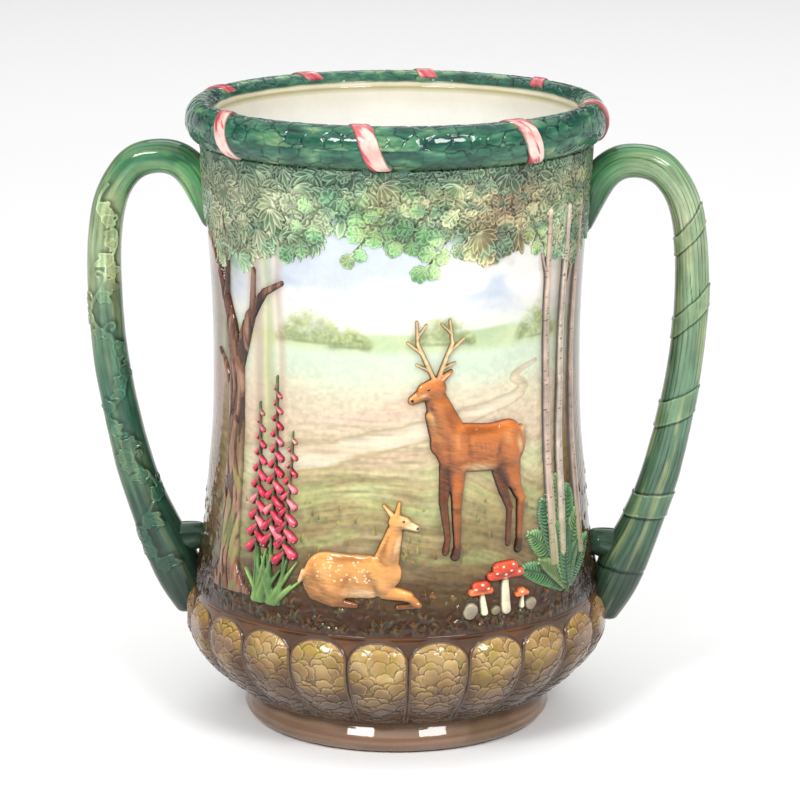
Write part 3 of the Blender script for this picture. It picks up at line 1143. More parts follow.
def foxglove_sheet():
    s = local_sheet(14, 80)
    r = np.random.default_rng(23)
    G, G2 = (86, 124, 66), (122, 150, 84)
    P = []
    spikes = [((-5.5, 0), (-7.2, 66)), ((0.2, 0), (0.8, 76)),
              ((5.2, 0), (7.4, 58))]
    for (x0, y0), (x1, y1) in spikes:
        P.append((x0, y0, 0.8, x1, y1, 0.4, 0.7, G))
    for k in range(15):
        a = r.uniform(-1.1, 1.1)
        L = r.uniform(9, 19)
        x0 = r.uniform(-5, 5)
        P.append((x0, 0.5, 1.7, x0 + L * math.sin(a) * 0.75,
                  1.5 + L * math.cos(a), 0.5, 0.85, G if k % 2 else G2))
    bells = []
    for (x0, y0), (x1, y1) in spikes:
        n = int((y1 - y0) / 3.6)
        for k in range(n):
            t = 0.30 + 0.66 * k / (n - 1)
            f = 1 - 0.62 * k / (n - 1)
            side = 1 if k % 2 else -1
            bx, by = x0 + (x1 - x0) * t, y0 + (y1 - y0) * t
            L = 4.6 * f
            ex, ey = bx + side * L * 0.72, by - L * 0.72
            red = [(196, 44, 70), (212, 70, 92), (178, 34, 60),
                   (226, 110, 122)][r.integers(4)]
            if f < 0.5:
                red = (206, 140, 120) if k == n - 1 else (214, 96, 104)
            P.append((bx, by, 0.75 * f + 0.2, ex, ey, 1.75 * f + 0.1,
                      1.15 * f + 0.25, red))
            bells.append((ex, ey, 1.75 * f + 0.1, side, f))
    sculpt(s, P, edge=0.4, k=0.15, blend=0.35)
    for ex, ey, rr, side, f in bells:
        s.dab(ex + side * rr * 0.35, ey - rr * 0.45, rr * 0.72, rr * 0.5,
              side * 0.8, rgb(120, 20, 44), 0.8, 0.6, -0.25)
        s.dab(ex + side * rr * 0.30, ey - rr * 0.40, rr * 0.32, rr * 0.22,
              side * 0.8, rgb(246, 214, 208), 0.7, 0.8)
        s.dab(ex - side * rr * 0.35, ey + rr * 0.75, rr * 0.25, rr * 0.75,
              side * 0.8, rgb(246, 178, 178), 0.6, 1.0)
    n = fbm(s.U + 200, s.V + 200, 1.2, 5, 251, 3, period=400.0)
    s.C *= (1 + (n - 0.5) * 0.35)[..., None]
    return s


def fern_sheet():
    s = local_sheet(24, 44)
    r = np.random.default_rng(29)
    fronds = [(-21, 12), (-16, 23), (-9, 33), (-1, 40), (7, 35), (15, 26),
              (21, 14), (-12, 13), (11, 15), (-4, 25), (4, 22)]
    s.H[:] = -0.2
    G = [(70, 128, 78), (96, 148, 84), (52, 108, 70), (126, 160, 88)]
    for k, (tx, ty) in enumerate(fronds):
        base = rgb(*G[k % 4])
        cx, cy = tx * 0.35, ty * 0.75
        ts = np.linspace(0, 1, 22)
        px = 2 * (1 - ts) * ts * cx + ts ** 2 * tx
        py = 2 * (1 - ts) * ts * cy + ts ** 2 * ty - 0.5
        L = math.hypot(tx, ty)
        for i in range(2, 22):
            a = math.atan2(py[i] - py[i - 1], px[i] - px[i - 1])
            ln = L * 0.20 * math.sin(math.pi * min(ts[i] * 0.95 + 0.04, 1)) ** .7
            for sd_ in (1, -1):
                stamp_leaf(s, px[i], py[i], a + sd_ * 1.0, max(ln, 1.4),
                           "plain", base * r.uniform(0.85, 1.2), r,
                           0.25 + 0.05 * k, edge=mix(base, rgb(206, 220, 150),
                                                     0.5))
        for i in range(21):
            w = s.near(min(px[i], px[i + 1]) - 0.6, max(px[i], px[i + 1]) + 0.6,
                       min(py[i], py[i + 1]) - 0.6, max(py[i], py[i + 1]) + 0.6)
            if w is None:
                continue
            at, x, y = w
            d, t = segment(x, y, (px[i], py[i]), (px[i + 1], py[i + 1]))
            m = step(0.5, 0.2, d)
            s.paint(at, m, base * 0.7)
            s.H[at] = np.maximum(s.H[at], (0.75 + 0.05 * k) * m)
            s.A[at] = np.maximum(s.A[at], m)
    return s


def toadstool_sheet():
    s = local_sheet(15, 19, 0.2)
    ST, R1, R2 = (232, 216, 184), (196, 70, 46), (214, 104, 60)
    P = [
        (-5.6, 0.5, 1.5, -6, 6.4, 1.1, 0.9, ST), (2, 0.5, 2.0, 2.6, 10.5, 1.5, 1.1, ST),
        (8.2, 0.5, 1.1, 8.6, 3.6, 0.8, 0.8, ST),
        (-9.3, 7.2, 1.5, -3.2, 7.4, 1.5, 1.1, R2), (-7.6, 8.8, 1.9, -4.6, 9.0, 1.9, 1.3, R1),
        (-2.4, 11.6, 1.7, 8.6, 11.8, 1.7, 1.2, R1), (0.6, 13.6, 2.6, 5.6, 13.8, 2.6, 1.5, R1),
        (6.8, 4.4, 1.1, 10.6, 4.5, 1.1, 0.9, R2), (8.2, 5.3, 1.2, 9.2, 5.4, 1.2, 1.0, R2),
        (-10.5, 0.6, 2.4, -9.8, 1.6, 2.4, 0.8, (150, 140, 118)),
        (11.5, 0.4, 2.2, 12.4, 0.8, 2.0, 0.8, (140, 128, 106)),
        (-1.8, 0.2, 1.6, -1.2, 0.6, 1.6, 0.6, (124, 112, 90)),
    ]
    sculpt(s, P, edge=0.45, k=0.2, blend=0.4)
    for x, y in ((-8.3, 8.3), (-5.9, 9.6), (-4.0, 8.2), (-0.6, 12.6), (1.8, 14.6),
                 (4.6, 13.0), (5.6, 15.0), (7.8, 12.2), (2.6, 12.0), (8.4, 5.2)):
        s.dab(x, y, 0.62, 0.45, 0, rgb(248, 236, 212), 0.95, 0.5, 0.12)
    s.dab(3.2, 10.3, 3.6, 0.5, 0, rgb(150, 112, 84), 0.6, 0.8, -0.15)
    s.dab(-6.1, 6.2, 2.2, 0.4, 0, rgb(150, 112, 84), 0.6, 0.8, -0.1)
    fur(s, 261, 0.06)
    return s


def mirror_sheet(s):
    m = Sheet(-(s.u0 + (s.nu - 1) * s.du), s.v0, s.du, s.nu, s.nv)
    m.C, m.H, m.A = s.C[:, ::-1].copy(), s.H[:, ::-1].copy(), \
        s.A[:, ::-1].copy()
    return m


def shade_under(s, ang, base, spread=1.7, dark=0.30, tone=(78, 60, 40)):
    # darker glaze on the wall close round a motif, so that it sits on it
    u0 = math.radians(ang) * R0
    w = wall.near(u0 + s.u[0] - 3, u0 + s.u[-1] + 3,
                  base + s.v[0] - 3, base + s.v[-1] + 3)
    at, x, y = w
    soft = blur(s.A, max(int(spread / s.du), 1), False)
    fi = np.clip((x - u0 - s.u0) / s.du, 0, s.nu - 1)
    fj = np.clip((y - base - s.v0) / s.du, 0, s.nv - 1)
    val = soft[fj.astype(int), fi.astype(int)]
    inside = (x - u0 > s.u[0]) & (x - u0 < s.u[-1]) & \
        (y - base > s.v[0]) & (y - base < s.v[-1])
    wall.paint(at, np.clip(val * 1.3, 0, 1) * dark * inside, rgb(*tone))


def place_motif(name, s, ang, base, slot, mat=None, level=0.0, cut_low=52.3):
    """Wraps a relief drawing on the wall. Its edge dips under the wall's
    surface, so that the outline is the drawing's."""
    keep = s.A > 0.02
    edge = step(0.0, 0.85, s.A)
    h = mix(-0.45, s.H + level, edge)
    theta = math.radians(ang) + s.U / R0
    z = base + s.V
    r = wall_r(z) + np.clip(h, -0.5, 3.0)
    co = wrap_on(theta, r, z).reshape(-1, 3)
    ok = keep & (z > cut_low - 0.8)
    q = ring_faces(s.nv, s.nu, close=False)
    okf = ok.ravel()[q].any(1)
    q = q[okf]
    used = np.zeros(len(co), bool)
    used[q.ravel()] = True
    new = np.cumsum(used) - 1
    uv = np.stack([(s.U - s.u[0]) / (s.u[-1] - s.u[0]),
                   (s.V - s.v[0]) / (s.v[-1] - s.v[0])], -1).reshape(-1, 2)
    ob = make(name, co[used], new[q], uv=uv[used] * 0.998 + 0.001,
              col=s.C.reshape(-1, 3)[used], mats=[mat or M_RELIEF])
    return finish_piece(ob, slot, name)


oak, birch, fox = oak_sheet(), birch_sheet(), foxglove_sheet()
stag, doe, hare = stag_sheet(), doe_sheet(), hare_sheet()
fern, toad = fern_sheet(), toadstool_sheet()
for s_ in (oak, birch, fox, stag, doe, hare, fern, toad):
    pooled(s_, 0.8, False)
# angles are from the front, heights from the table, as on the frame
motifs = [
    ("oak_relief", oak, -53.5, 57.0, "bark_glaze"),
    ("birch_relief", birch, 63.0, 66.0, "bark_glaze"),
    ("foxglove_relief", fox, -35.5, 54.5, "flower_glaze"),
    ("doe_relief", doe, -7.0, 55.5, "deer_glaze"),
    ("stag_relief", stag, 26.5, 72.0, "deer_glaze"),
    ("fern_relief", fern, 59.0, 54.0, "leaf_glaze"),
    ("toadstool_relief", toad, 33.0, 53.2, "toadstool_glaze"),
    ("back_birch_relief", mirror_sheet(birch), 121.0, 66.0, "bark_glaze"),
    ("back_stag_relief", mirror_sheet(stag), 157.0, 72.0, "deer_glaze"),
    ("back_hare_relief", hare, 186.5, 54.0, "deer_glaze"),
    ("back_foxglove_relief", mirror_sheet(fox), 207.5, 54.5, "flower_glaze"),
    ("back_oak_relief", mirror_sheet(oak), 227.0, 57.0, "bark_glaze"),
    ("back_fern_relief", mirror_sheet(fern), 128.0, 54.0, "leaf_glaze"),
    ("back_toadstool_relief", mirror_sheet(toad), 248.0, 53.2,
     "toadstool_glaze"),
]
for name, s_, ang, base, slot in motifs:
    shade_under(s_, ang, base)
for name, s_, ang, base, slot in motifs:
    place_motif(name, s_, ang, base, slot)

# ---------------------------------------------------- meshes of wall and leaves
coarse = [11.0, 12.5, 15.0, 19.0, 24.0, 30.0, 36.0, 40.0, 43.5]
z_out = np.r_[coarse, wall.v]
rows_r = [wall_r(np.array([z]))[0] * np.ones(NW) for z in coarse]
rows_c = [np.tile(rgb(106, 70, 44), (NW, 1)) for z in coarse]
for j in range(wall.nv):
    rows_r.append(wall_r(wall.v[j]) + wall.H[j])
    rows_c.append(wall.C[j])
th = wall.u / R0
# top edge, lip inside the roll, inner face and floor
prof = [(66.0, 204.5), (65.0, 207.0), (63.0, 209.0), (61.9, 210.8),
        (61.5, 211.4), (61.15, 211.2), (60.95, 210.4), (60.85, 208.5),
        (60.95, 206.0)]
inn = INNER[::-1]
sel = np.linspace(0, len(inn) - 1, 74).astype(int)
prof += [tuple(inn[i]) for i in sel]
prof += [(34.0, 17.0), (26.0, 17.0), (17.0, 17.0), (8.0, 17.0), (2.0, 17.0)]
prof_a = np.array(prof)
under = np.array([(2.0, 11.0), (20.0, 11.0), (38.0, 11.0), (46.0, 11.0)])
R_all, Z_all, C_all = [], [], []
for r, z in under:
    R_all.append(np.full(NW, r))
    Z_all.append(np.full(NW, z))
    C_all.append(np.tile(rgb(226, 214, 190), (NW, 1)))
for r, c, z in zip(rows_r, rows_c, z_out):
    R_all.append(r)
    Z_all.append(np.full(NW, z))
    C_all.append(c)
n_paint = len(R_all)
cream = rgb(252, 250, 242)
for r, z in prof_a:
    c = cream.copy()
    R_all.append(np.full(NW, r))
    Z_all.append(np.full(NW, z))
    C_all.append(np.tile(c, (NW, 1)))
R_all, Z_all, C_all = map(np.array, (R_all, Z_all, C_all))
# inside: warm cream, olive glaze pooled in the groove under the lip
Ui = np.tile(wall.u, (len(prof_a), 1)).astype(f4)
Zi = Z_all[n_paint:].astype(f4)
ci = C_all[n_paint:]
nz_ = fbm(Ui, Zi, 40, 22, 301, 3)
ci[:] = ci * (1 + (nz_ - 0.5) * 0.04)[..., None]
ol = np.exp(-((Zi - 210.3 + 0.5 * (fbm(Ui, 0 * Zi, 8, 5, 303) - .5)) / 0.9)
            ** 2) * (R_all[n_paint:] < 61.6)
ci += (rgb(140, 128, 66) - ci) * np.clip(ol * 1.0, 0, 1)[..., None]
wm = step(199, 209.5, Zi) * (R_all[n_paint:] < 61.6)
ci += (rgb(240, 230, 196) - ci) * (wm * 0.42)[..., None]
fl = step(30, 17, Zi)
ci += (rgb(242, 232, 206) - ci) * (fl * 0.5)[..., None]
th_all = np.tile(th, (len(R_all), 1))
co = wrap_on(th_all, R_all, Z_all).reshape(-1, 3)
nr = len(R_all)
q = ring_faces(nr, NW)
# close the two small middles
extra_v = np.array([[0, 0, 11.0], [0, 0, 17.0]]) * MM
i = np.arange(NW)
i2 = (i + 1) % NW
tri0 = np.stack([np.full(NW, nr * NW), i2, i], -1)
tri1 = np.stack([np.full(NW, nr * NW + 1), (nr - 1) * NW + i,
                 (nr - 1) * NW + i2], -1)
co = np.concatenate([co, extra_v])
colv = np.concatenate([C_all.reshape(-1, 3),
                       np.array([rgb(226, 214, 190), rgb(242, 232, 206)])])
v_row = np.zeros(nr + 1, f4)
a0, a1 = 13, 13 + wall.nv
v_row[:a0] = np.linspace(0.0, 0.03, a0)
v_row[a0:a1] = np.linspace(0.04, 0.80, wall.nv)
v_row[a1:nr] = np.linspace(0.81, 0.99, nr - a1)
v_row[nr] = 0.995
fm = np.zeros(len(q) + 2 * NW, int)
row_of = np.repeat(np.arange(nr - 1), NW)
fm[:len(q)] = (row_of >= n_paint)
fm[:NW * 3] = 1
fm[len(q):] = 1


def wall_uv(loops, counts, starts):
    j = np.minimum(loops // NW, nr)
    ii = np.where(loops >= nr * NW, 0, loops % NW).astype(f4) / NW
    ff = np.repeat(np.arange(len(counts)), counts)
    hi = np.zeros(len(counts), f4)
    np.maximum.at(hi, ff, ii)
    wr = (hi[ff] > 0.75) & (ii < 0.25)
    u = ii + wr
    return np.stack([u * 0.998 + 0.001, v_row[j]], -1)


ob = make("vessel_wall", co, [q, tri0, tri1], uv=wall_uv, col=colv,
          mats=[M_WALL, M_INSIDE], face_mat=fm)
finish_piece(ob, "body_glaze", "vessel_wall")

# leaves
h_leaf = mix(-0.35, leaf.H + 0.10, step(0.0, 0.9, leaf.A))
zl = leaf.V
zfade = step(202.0, 200.9, zl)
r_leaf = wall_r(zl) + h_leaf * zfade - 0.3 * (1 - zfade)
co = wrap_on(leaf.U / R0, r_leaf, zl).reshape(-1, 3)
q = ring_faces(leaf.nv, leaf.nu)
q = q[(leaf.A > 0.02).ravel()[q].any(1)]
used = np.zeros(len(co), bool)
used[q.ravel()] = True
new = np.cumsum(used) - 1
col_idx = np.tile(np.arange(leaf.nu), leaf.nv)[used]
row_v = np.repeat(np.linspace(0.01, 0.99, leaf.nv), leaf.nu)[used]


def leaf_uv(loops, counts, starts):
    ii = col_idx[loops].astype(f4) / leaf.nu
    ff = np.repeat(np.arange(len(counts)), counts)
    hi = np.zeros(len(counts), f4)
    np.maximum.at(hi, ff, ii)
    wr = (hi[ff] > 0.75) & (ii < 0.25)
    return np.stack([(ii + wr) * 0.998 + 0.001, row_v[loops]], -1)


ob = make("leaf_canopy", co[used], new[q], uv=leaf_uv,
          col=leaf.C.reshape(-1, 3)[used], mats=[M_RELIEF])
finish_piece(ob, "leaf_glaze", "leaf_canopy")

# ================================================================ lobed band
N_LOBE = 22
PER = 84
nb = N_LOBE * PER
arc = np.r_[0, np.cumsum(np.hypot(*np.diff(BAND, axis=0).T))]
nbv = 190
tb = np.linspace(0, arc[-1], nbv)
br = np.interp(tb, arc, BAND[:, 0])
bz = np.interp(tb, arc, BAND[:, 1])
tr, tz = np.gradient(br, tb), np.gradient(bz, tb)
tl = np.hypot(tr, tz)
nrm_r, nrm_z = tz / tl, -tr / tl
th_b = math.radians(6.6) + 2 * math.pi * np.arange(nb) / nb
X, T = np.meshgrid(((np.arange(nb) / PER) % 1.0) - 0.5, tb)   # -0.5 .. 0.5
RR, ZZ = np.meshgrid(np.ones(nb), bz)
pitch = 2 * math.pi * br[:, None] / N_LOBE           # lobe width in mm
xm = X * pitch                                       # mm from lobe centre
half = pitch / 2
S_full = arc[-1]
s_arch = np.interp(40.9, bz, tb)                     # where two arches meet
s_top = np.interp(45.7, bz, tb)                      # crown of an arch
# inside distance of the lobe outline: straight sides, round head
side_d = half - np.abs(xm)
ex = np.abs(xm) / half
rise = 7.2
s_c = s_top - rise                                   # spring of the arch
tv = np.maximum(T - s_c, 0) / rise
rho = np.sqrt(ex ** 2 + tv ** 2) + 1e-6
d_in = (1 - rho) * rho / np.sqrt((ex / half) ** 2 + (tv / rise) ** 2 + 1e-12)
d_in = np.where(rho < 0.10, (1 - rho) * half, np.minimum(d_in, half))
lobe_id = (np.arange(nb) // PER)[None, :] + 0 * T
Tm = T.astype(f4)
Um = (X * 20.0 + lobe_id * 37.0).astype(f4)
wob = (fbm(Um, Tm, 5, 5, 401, 2, period=900.0) - 0.5) * 1.0
d_w = d_in + wob * 0.35
low = step(0, 7, T)
puff = 2.0 * np.sin(0.5 * math.pi * np.clip(d_w / 7.5, 0, 1)) ** 0.85
Hb = (puff - 1.9) * low
Hb = Hb + 0.24 * np.exp(-((d_w - 0.45) / 0.24) ** 2) - \
    0.18 * np.exp(-((d_w - 0.88) / 0.18) ** 2) - \
    0.45 * np.exp(-(d_w / 0.26) ** 2) * low
# above the arches the shoulder runs smoothly into the wall
above = step(0.10, -0.9, d_in) * step(s_c + 0.2, s_c + 1.6, T)
zs = np.interp(T, tb, bz)
flow = wall_r(zs) + 0.14 - 0.45 * step(45.6, 47.0, zs) - br[:, None]
Hb = mix(Hb, flow, above)
Cb = np.empty(T.shape + (3,), f4)
Cb[:] = rgb(92, 68, 50)
# scales: overlapping leaves with cloud-like edges, laid from the arch down
scale_h = np.full(T.shape, 0.0, f4)
scale_c = np.full(T.shape, 0.5, f4)
edge_c = np.zeros(T.shape, f4)
rs = np.random.default_rng(12)


def lay_scale(lobe, x0, t0, rad, tilt):
    # columns of this lobe only
    c0 = lobe * PER
    j = np.abs(tb - t0) < rad * 1.7
    if not j.any():
        return
    x, t = xm[j, c0:c0 + PER], T[j, c0:c0 + PER]
    dx, dy = x - x0, t - t0
    a = np.arctan2(dy, dx)
    rr = np.hypot(dx, dy * 0.95)
    rim_r = rad * (0.94 + 0.24 * np.abs(np.cos(2.5 * a + tilt)) ** 0.7 +
                   0.05 * np.cos(3 * a + 2 * tilt))
    dd = rim_r - rr
    m = step(-0.05, 0.12, dd)
    up = np.clip((dy + rad) / (2 * rad), 0, 1)
    h = 0.08 + 0.40 * up + 0.12 * np.exp(-((dd - 0.26) / 0.2) ** 2)
    sh, sc, ec = (q[:, c0:c0 + PER] for q in (scale_h, scale_c, edge_c))
    out = step(-0.6, 0, dd) * (1 - step(0, 0.1, dd))
    sh[j] = mix(sh[j] * (1 - 0.75 * out), h, m)
    sc[j] = mix(sc[j], rs.random() * 0.5 + 0.5 * up, m)
    e_new = np.exp(-((dd - 0.20) / 0.17) ** 2)
    ec[j] = mix(ec[j] - 0.8 * out, e_new, m)


for lobe in range(N_LOBE):
    t0 = s_top - 1.0
    row = 0
    while t0 > 0.5:
        lw = math.pi * np.interp(t0, tb, br) / N_LOBE - 1.0
        rad = (2.35 + 0.6 * rs.random()) * (0.75 + 0.25 * min(t0 / 12, 1))
        n = max(int(round(2 * lw / (rad * 1.9))), 2)
        for k in rs.permutation(n + 1):
            x0 = -lw + (k + (0.0 if row % 2 else 0.5)) * 2 * lw / n
            lay_scale(lobe, x0 + rs.normal(0, 0.7), t0 + rs.normal(0, 0.8),
                      rad * rs.uniform(0.72, 1.28), rs.uniform(0, 6.28))
        t0 -= rad * 1.15
        row += 1
inside = step(0.72, 1.15, d_w)
f_up = np.clip((T - 4) / (s_top - 6), 0, 1)
Hb = Hb + inside * (scale_h * 0.95 - 0.28) * low * \
    (1 - 0.55 * step(0.70, 0.92, f_up))
n9 = fbm(Um, Tm, 9, 9, 405, 3, period=900.0)
azb = np.degrees(th_b)[None, :] - 3.5
front = np.cos(np.radians(azb)) ** 2 + 0 * T         # golden front and back
tone = ramp(f_up - 0.26 * ex ** 2 + 0.50 * (n9 - 0.5) - 0.22 * (1 - front),
            [(-0.2, (56, 38, 26)), (0.12, (76, 54, 36)),
             (0.36, (98, 73, 48)), (0.58, (142, 112, 70)),
             (0.76, (184, 156, 104)), (0.95, (174, 142, 88)),
             (1.15, (130, 94, 56))])
tone *= 1 - (1 - front)[..., None] * np.array([0.12, 0.20, 0.21])
tone = tone * (0.92 + scale_c[..., None] * 0.17)
# olive-gold pooled in patches on the upper part
gold = step(0.50, 0.66, fbm(Um, Tm, 5, 5, 413, 3, period=900.0)) * \
    step(0.40, 0.75, f_up)
tone += (rgb(150, 128, 46) - tone) * (gold * 0.45)[..., None]
worn = 0.35 + 0.65 * step(0.40, 0.60, fbm(Um, Tm, 6, 5, 409, 2, period=900.0))
tone += (rgb(206, 190, 160) - tone) * (np.clip(edge_c, 0, 1) * worn *
                                       0.38)[..., None]
tone *= (1 - 0.40 * np.clip(-edge_c, 0, 1) * worn)[..., None]
Cb += (tone - Cb) * inside[..., None]
border = np.exp(-((d_w - 0.45) / 0.34) ** 2)
Cb += (ramp(f_up, [(0, (104, 82, 64)), (0.7, (146, 120, 92)),
                   (1, (134, 102, 76))]) - Cb) * (border * 0.7)[..., None]
groove = np.exp(-(d_w / 0.28) ** 2)
Cb += (rgb(58, 38, 28) - Cb) * (groove * 0.72)[..., None]
n10 = fbm((th_b * R0).astype(f4)[None, :] + 0 * Tm, Tm, 14, 5, 415, 3)
shade_a = ramp(zs + 2 * (n10 - 0.5), [(38, (70, 41, 19)), (42, (88, 54, 25)),
                                     (47, (78, 46, 20))])
shade_a = shade_a * (0.88 + 0.34 * step(0.35, 0.68, n10))[..., None]
Cb += (shade_a - Cb) * above[..., None]
lowshade = step(4, 0, T)
Cb += (rgb(64, 44, 32) - Cb) * (lowshade * 0.6)[..., None]


class Plain:
    pass


bs_ = Plain()
bs_.H, bs_.C, bs_.du = (scale_h * inside).astype(f4), Cb, 0.26
pooled(bs_, 0.35)
Cb = bs_.C
Rb = br[:, None] + nrm_r[:, None] * Hb * 1.0
Zb = bz[:, None] + nrm_z[:, None] * Hb * 0.6
Zb = np.clip(Zb, 11.0, 47.2)
Rb = np.minimum(np.maximum(Rb, wall_r(Zb) + 0.05), 73.25)
# under edge tucks in to the foot
low_r = np.array([[50.0], [52.0]]) * np.ones((1, nb))
low_z = np.array([[11.0], [11.0]]) * np.ones((1, nb))
top_r = (wall_r(np.array([47.4, 46.0])) - np.array([0.5, 1.2]))[:, None] * \
    np.ones((1, nb))
top_z = np.array([[47.4], [46.0]]) * np.ones((1, nb))
Rf = np.concatenate([low_r, Rb, top_r])
Zf = np.concatenate([low_z, Zb, top_z])
Cf = np.concatenate([np.tile(Cb[:1], (2, 1, 1)), Cb,
                     np.tile(Cb[-1:], (2, 1, 1))])
co = wrap_on(np.tile(th_b, (len(Rf), 1)), Rf, Zf).reshape(-1, 3)
q = ring_faces(len(Rf), nb)
vv = np.linspace(0.005, 0.995, len(Rf))
ob = make("lobed_band", co, q, uv=ring_uv(len(Rf), nb, vv),
          col=Cf.reshape(-1, 3), mats=[M_LOBE])
finish_piece(ob, "lobe_glaze", "lobed_band")

# ================================================================= foot ring
nf = 360
fp = [(43.4, 10.9), (43.0, 10.0), (43.8, 5.0), (44.7, 1.2), (45.2, 0.25),
      (46.0, 0.0), (47.0, 0.0), (48.0, 0.0)]
round_foot = bspline([(48.2, 0.0), (49.9, 0.05), (52.3, 1.5), (53.6, 4.0),
                      (52.4, 6.6), (50.6, 9.6), (50.2, 11.0)], 600)
sel = np.linspace(0, len(round_foot) - 1, 50).astype(int)
fp += [tuple(round_foot[i]) for i in sel]
fp += [(49.8, 11.15), (49.0, 11.2)]
fp = np.array(fp)
th_f = 2 * math.pi * np.arange(nf) / nf
Uf, Zf = np.meshgrid(th_f * R0, fp[:, 1])
Uf, Zf = Uf.astype(f4), Zf.astype(f4)
ring_n = fbm(Uf, Zf, 60, 0.7, 501, 3)
Rf = fp[:, :1] + (ring_n - 0.5) * 0.06 * (fp[:, :1] > 50)
Cf = ramp(ring_n, [(0.3, (136, 106, 86)), (0.5, (148, 118, 97)),
                   (0.7, (158, 128, 106))])
blot = fbm(Uf, Zf, 26, 8, 503, 3)
Cf += (rgb(112, 92, 66) - Cf) * (step(0.52, 0.68, blot) * 0.45)[..., None]
Cf += (rgb(88, 60, 46) - Cf) * (step(9.4, 10.8, Zf) * 0.6)[..., None]
Cf += (rgb(206, 190, 166) - Cf) * (step(0.35, 0.1, Zf) * 0.9)[..., None]
co = wrap_on(np.tile(th_f, (len(fp), 1)), Rf, Zf).reshape(-1, 3)
q = ring_faces(len(fp), nf)
# close the ring inside the body
q = np.concatenate([q, np.stack([
    (len(fp) - 1) * nf + np.arange(nf),
    (len(fp) - 1) * nf + (np.arange(nf) + 1) % nf,
    (np.arange(nf) + 1) % nf, np.arange(nf)], -1)])
ob = make("foot_ring", co, q, uv=ring_uv(len(fp), nf,
                                         np.linspace(.01, .99, len(fp))),
          col=Cf.reshape(-1, 3), mats=[M_FOOT])
finish_piece(ob, "foot_glaze", "foot_ring")

# ================================================================== rim roll
RR_, RZ, RA, RB = 65.95, 208.76, 5.35, 7.0
nrt, nrp = 1500, 150
thr = 2 * math.pi * np.arange(nrt) / nrt
ph = 2 * math.pi * np.arange(nrp) / nrp
PH, TH = np.meshgrid(ph, thr, indexing="ij")
tube = 6.3
Us = (TH * R0).astype(f4)
Ts = (PH * tube).astype(f4)
# overlapping leaf cells with wavy edges: nearest of jittered points, warped
wu = (fbm(Us, Ts, 3.2, 2.6, 601, 3) - 0.5) * 3.4
wt = (fbm(Us, Ts, 3.0, 2.8, 607, 3) - 0.5) * 3.0
ncu, cu_ = 64, PERIOD / 64
nct, ct_ = 9, 2 * math.pi * tube / 9
rj = np.random.default_rng(31)
ju, jt = rj.random((nct, ncu)), rj.random((nct, ncu))
jc = rj.random((nct, ncu))
gu, gt = (Us + wu) / cu_, (Ts + wt) / ct_
iu, it = np.floor(gu).astype(int), np.floor(gt).astype(int)
f1 = np.full(Us.shape, 99.0)
f2 = np.full(Us.shape, 99.0)
cell = np.zeros(Us.shape)
offu = np.zeros(Us.shape)
for a in (-1, 0, 1):
    for b in (-1, 0, 1):
        ci_, cj_ = (iu + a) % ncu, (it + b) % nct
        px = (iu + a + 0.2 + 0.6 * ju[cj_, ci_] + 0.5 * ((it + b) % 2))
        py = (it + b + 0.2 + 0.6 * jt[cj_, ci_])
        dx, dy = (gu - px) * cu_ * 0.82, (gt - py) * ct_
        d = np.hypot(dx, dy)
        nearer = d < f1
        f2 = np.where(nearer, f1, np.minimum(f2, d))
        cell = np.where(nearer, jc[cj_, ci_], cell)
        offu = np.where(nearer, dx, offu)
        f1 = np.where(nearer, d, f1)
e = f2 - f1
lines = np.exp(-(e / 0.34) ** 2)
rough_n = fbm(Us, Ts, 2.2, 1.6, 611, 3)
broken = step(0.43, 0.57, fbm(Us, Ts, 7, 5, 609, 3))
lines = lines * (0.14 + 0.86 * broken)
Hr = 0.10 * step(0, 2.0, e) - 0.20 * lines + 0.06 * offu / 3.0 + \
    (rough_n - 0.5) * 0.14
cosp, sinp = np.cos(PH), np.sin(PH)
outside = 1 - step(math.radians(138), math.radians(147), PH) + \
    step(math.radians(262), math.radians(275), PH)
outside = np.clip(outside, 0, 1)
border_w = (fbm(Us, 0 * Ts, 7, 5, 613, 3) - 0.5) * math.radians(7)
green = np.clip(1 - step(math.radians(147), math.radians(151), PH + border_w)
                + step(math.radians(262), math.radians(272), PH), 0, 1)
Hr = Hr * outside
big = fbm(Us, Ts, 24, 12, 617, 3)
mid = fbm(Us, Ts, 7, 3, 619, 3)
Cr = ramp(mid + (cell - 0.5) * 0.08 + (big - 0.5) * 0.55,
          [(0.12, (26, 68, 58)), (0.35, (38, 86, 70)), (0.52, (50, 102, 80)),
           (0.66, (72, 122, 92)), (0.80, (108, 146, 104)), (0.95, (136, 158, 114))])
st = fbm(Us, Ts, 2.6, 0.5, 623, 2)
Cr *= (1 + (st - 0.5) * 0.40)[..., None]
lowp = step(math.radians(330), math.radians(300), PH) * \
    step(math.radians(262), math.radians(290), PH)
Cr += (rgb(88, 104, 72) - Cr) * (lowp * 0.38)[..., None]
Cr += (rgb(14, 46, 44) - Cr) * (np.clip(lines * 1.0, 0, 1) * 0.62)[..., None]
crm = np.empty(Cr.shape, f4)
crm[:] = rgb(240, 232, 210)
Cr = mix(crm, Cr, green[..., None])
bd = np.exp(-((PH + border_w - math.radians(149)) / math.radians(3.5)) ** 2)
Cr += (rgb(120, 130, 84) - Cr) * (bd * 0.5)[..., None]
Rr = RR_ + (RA + Hr) * cosp
Zr = RZ + (RB + Hr) * sinp
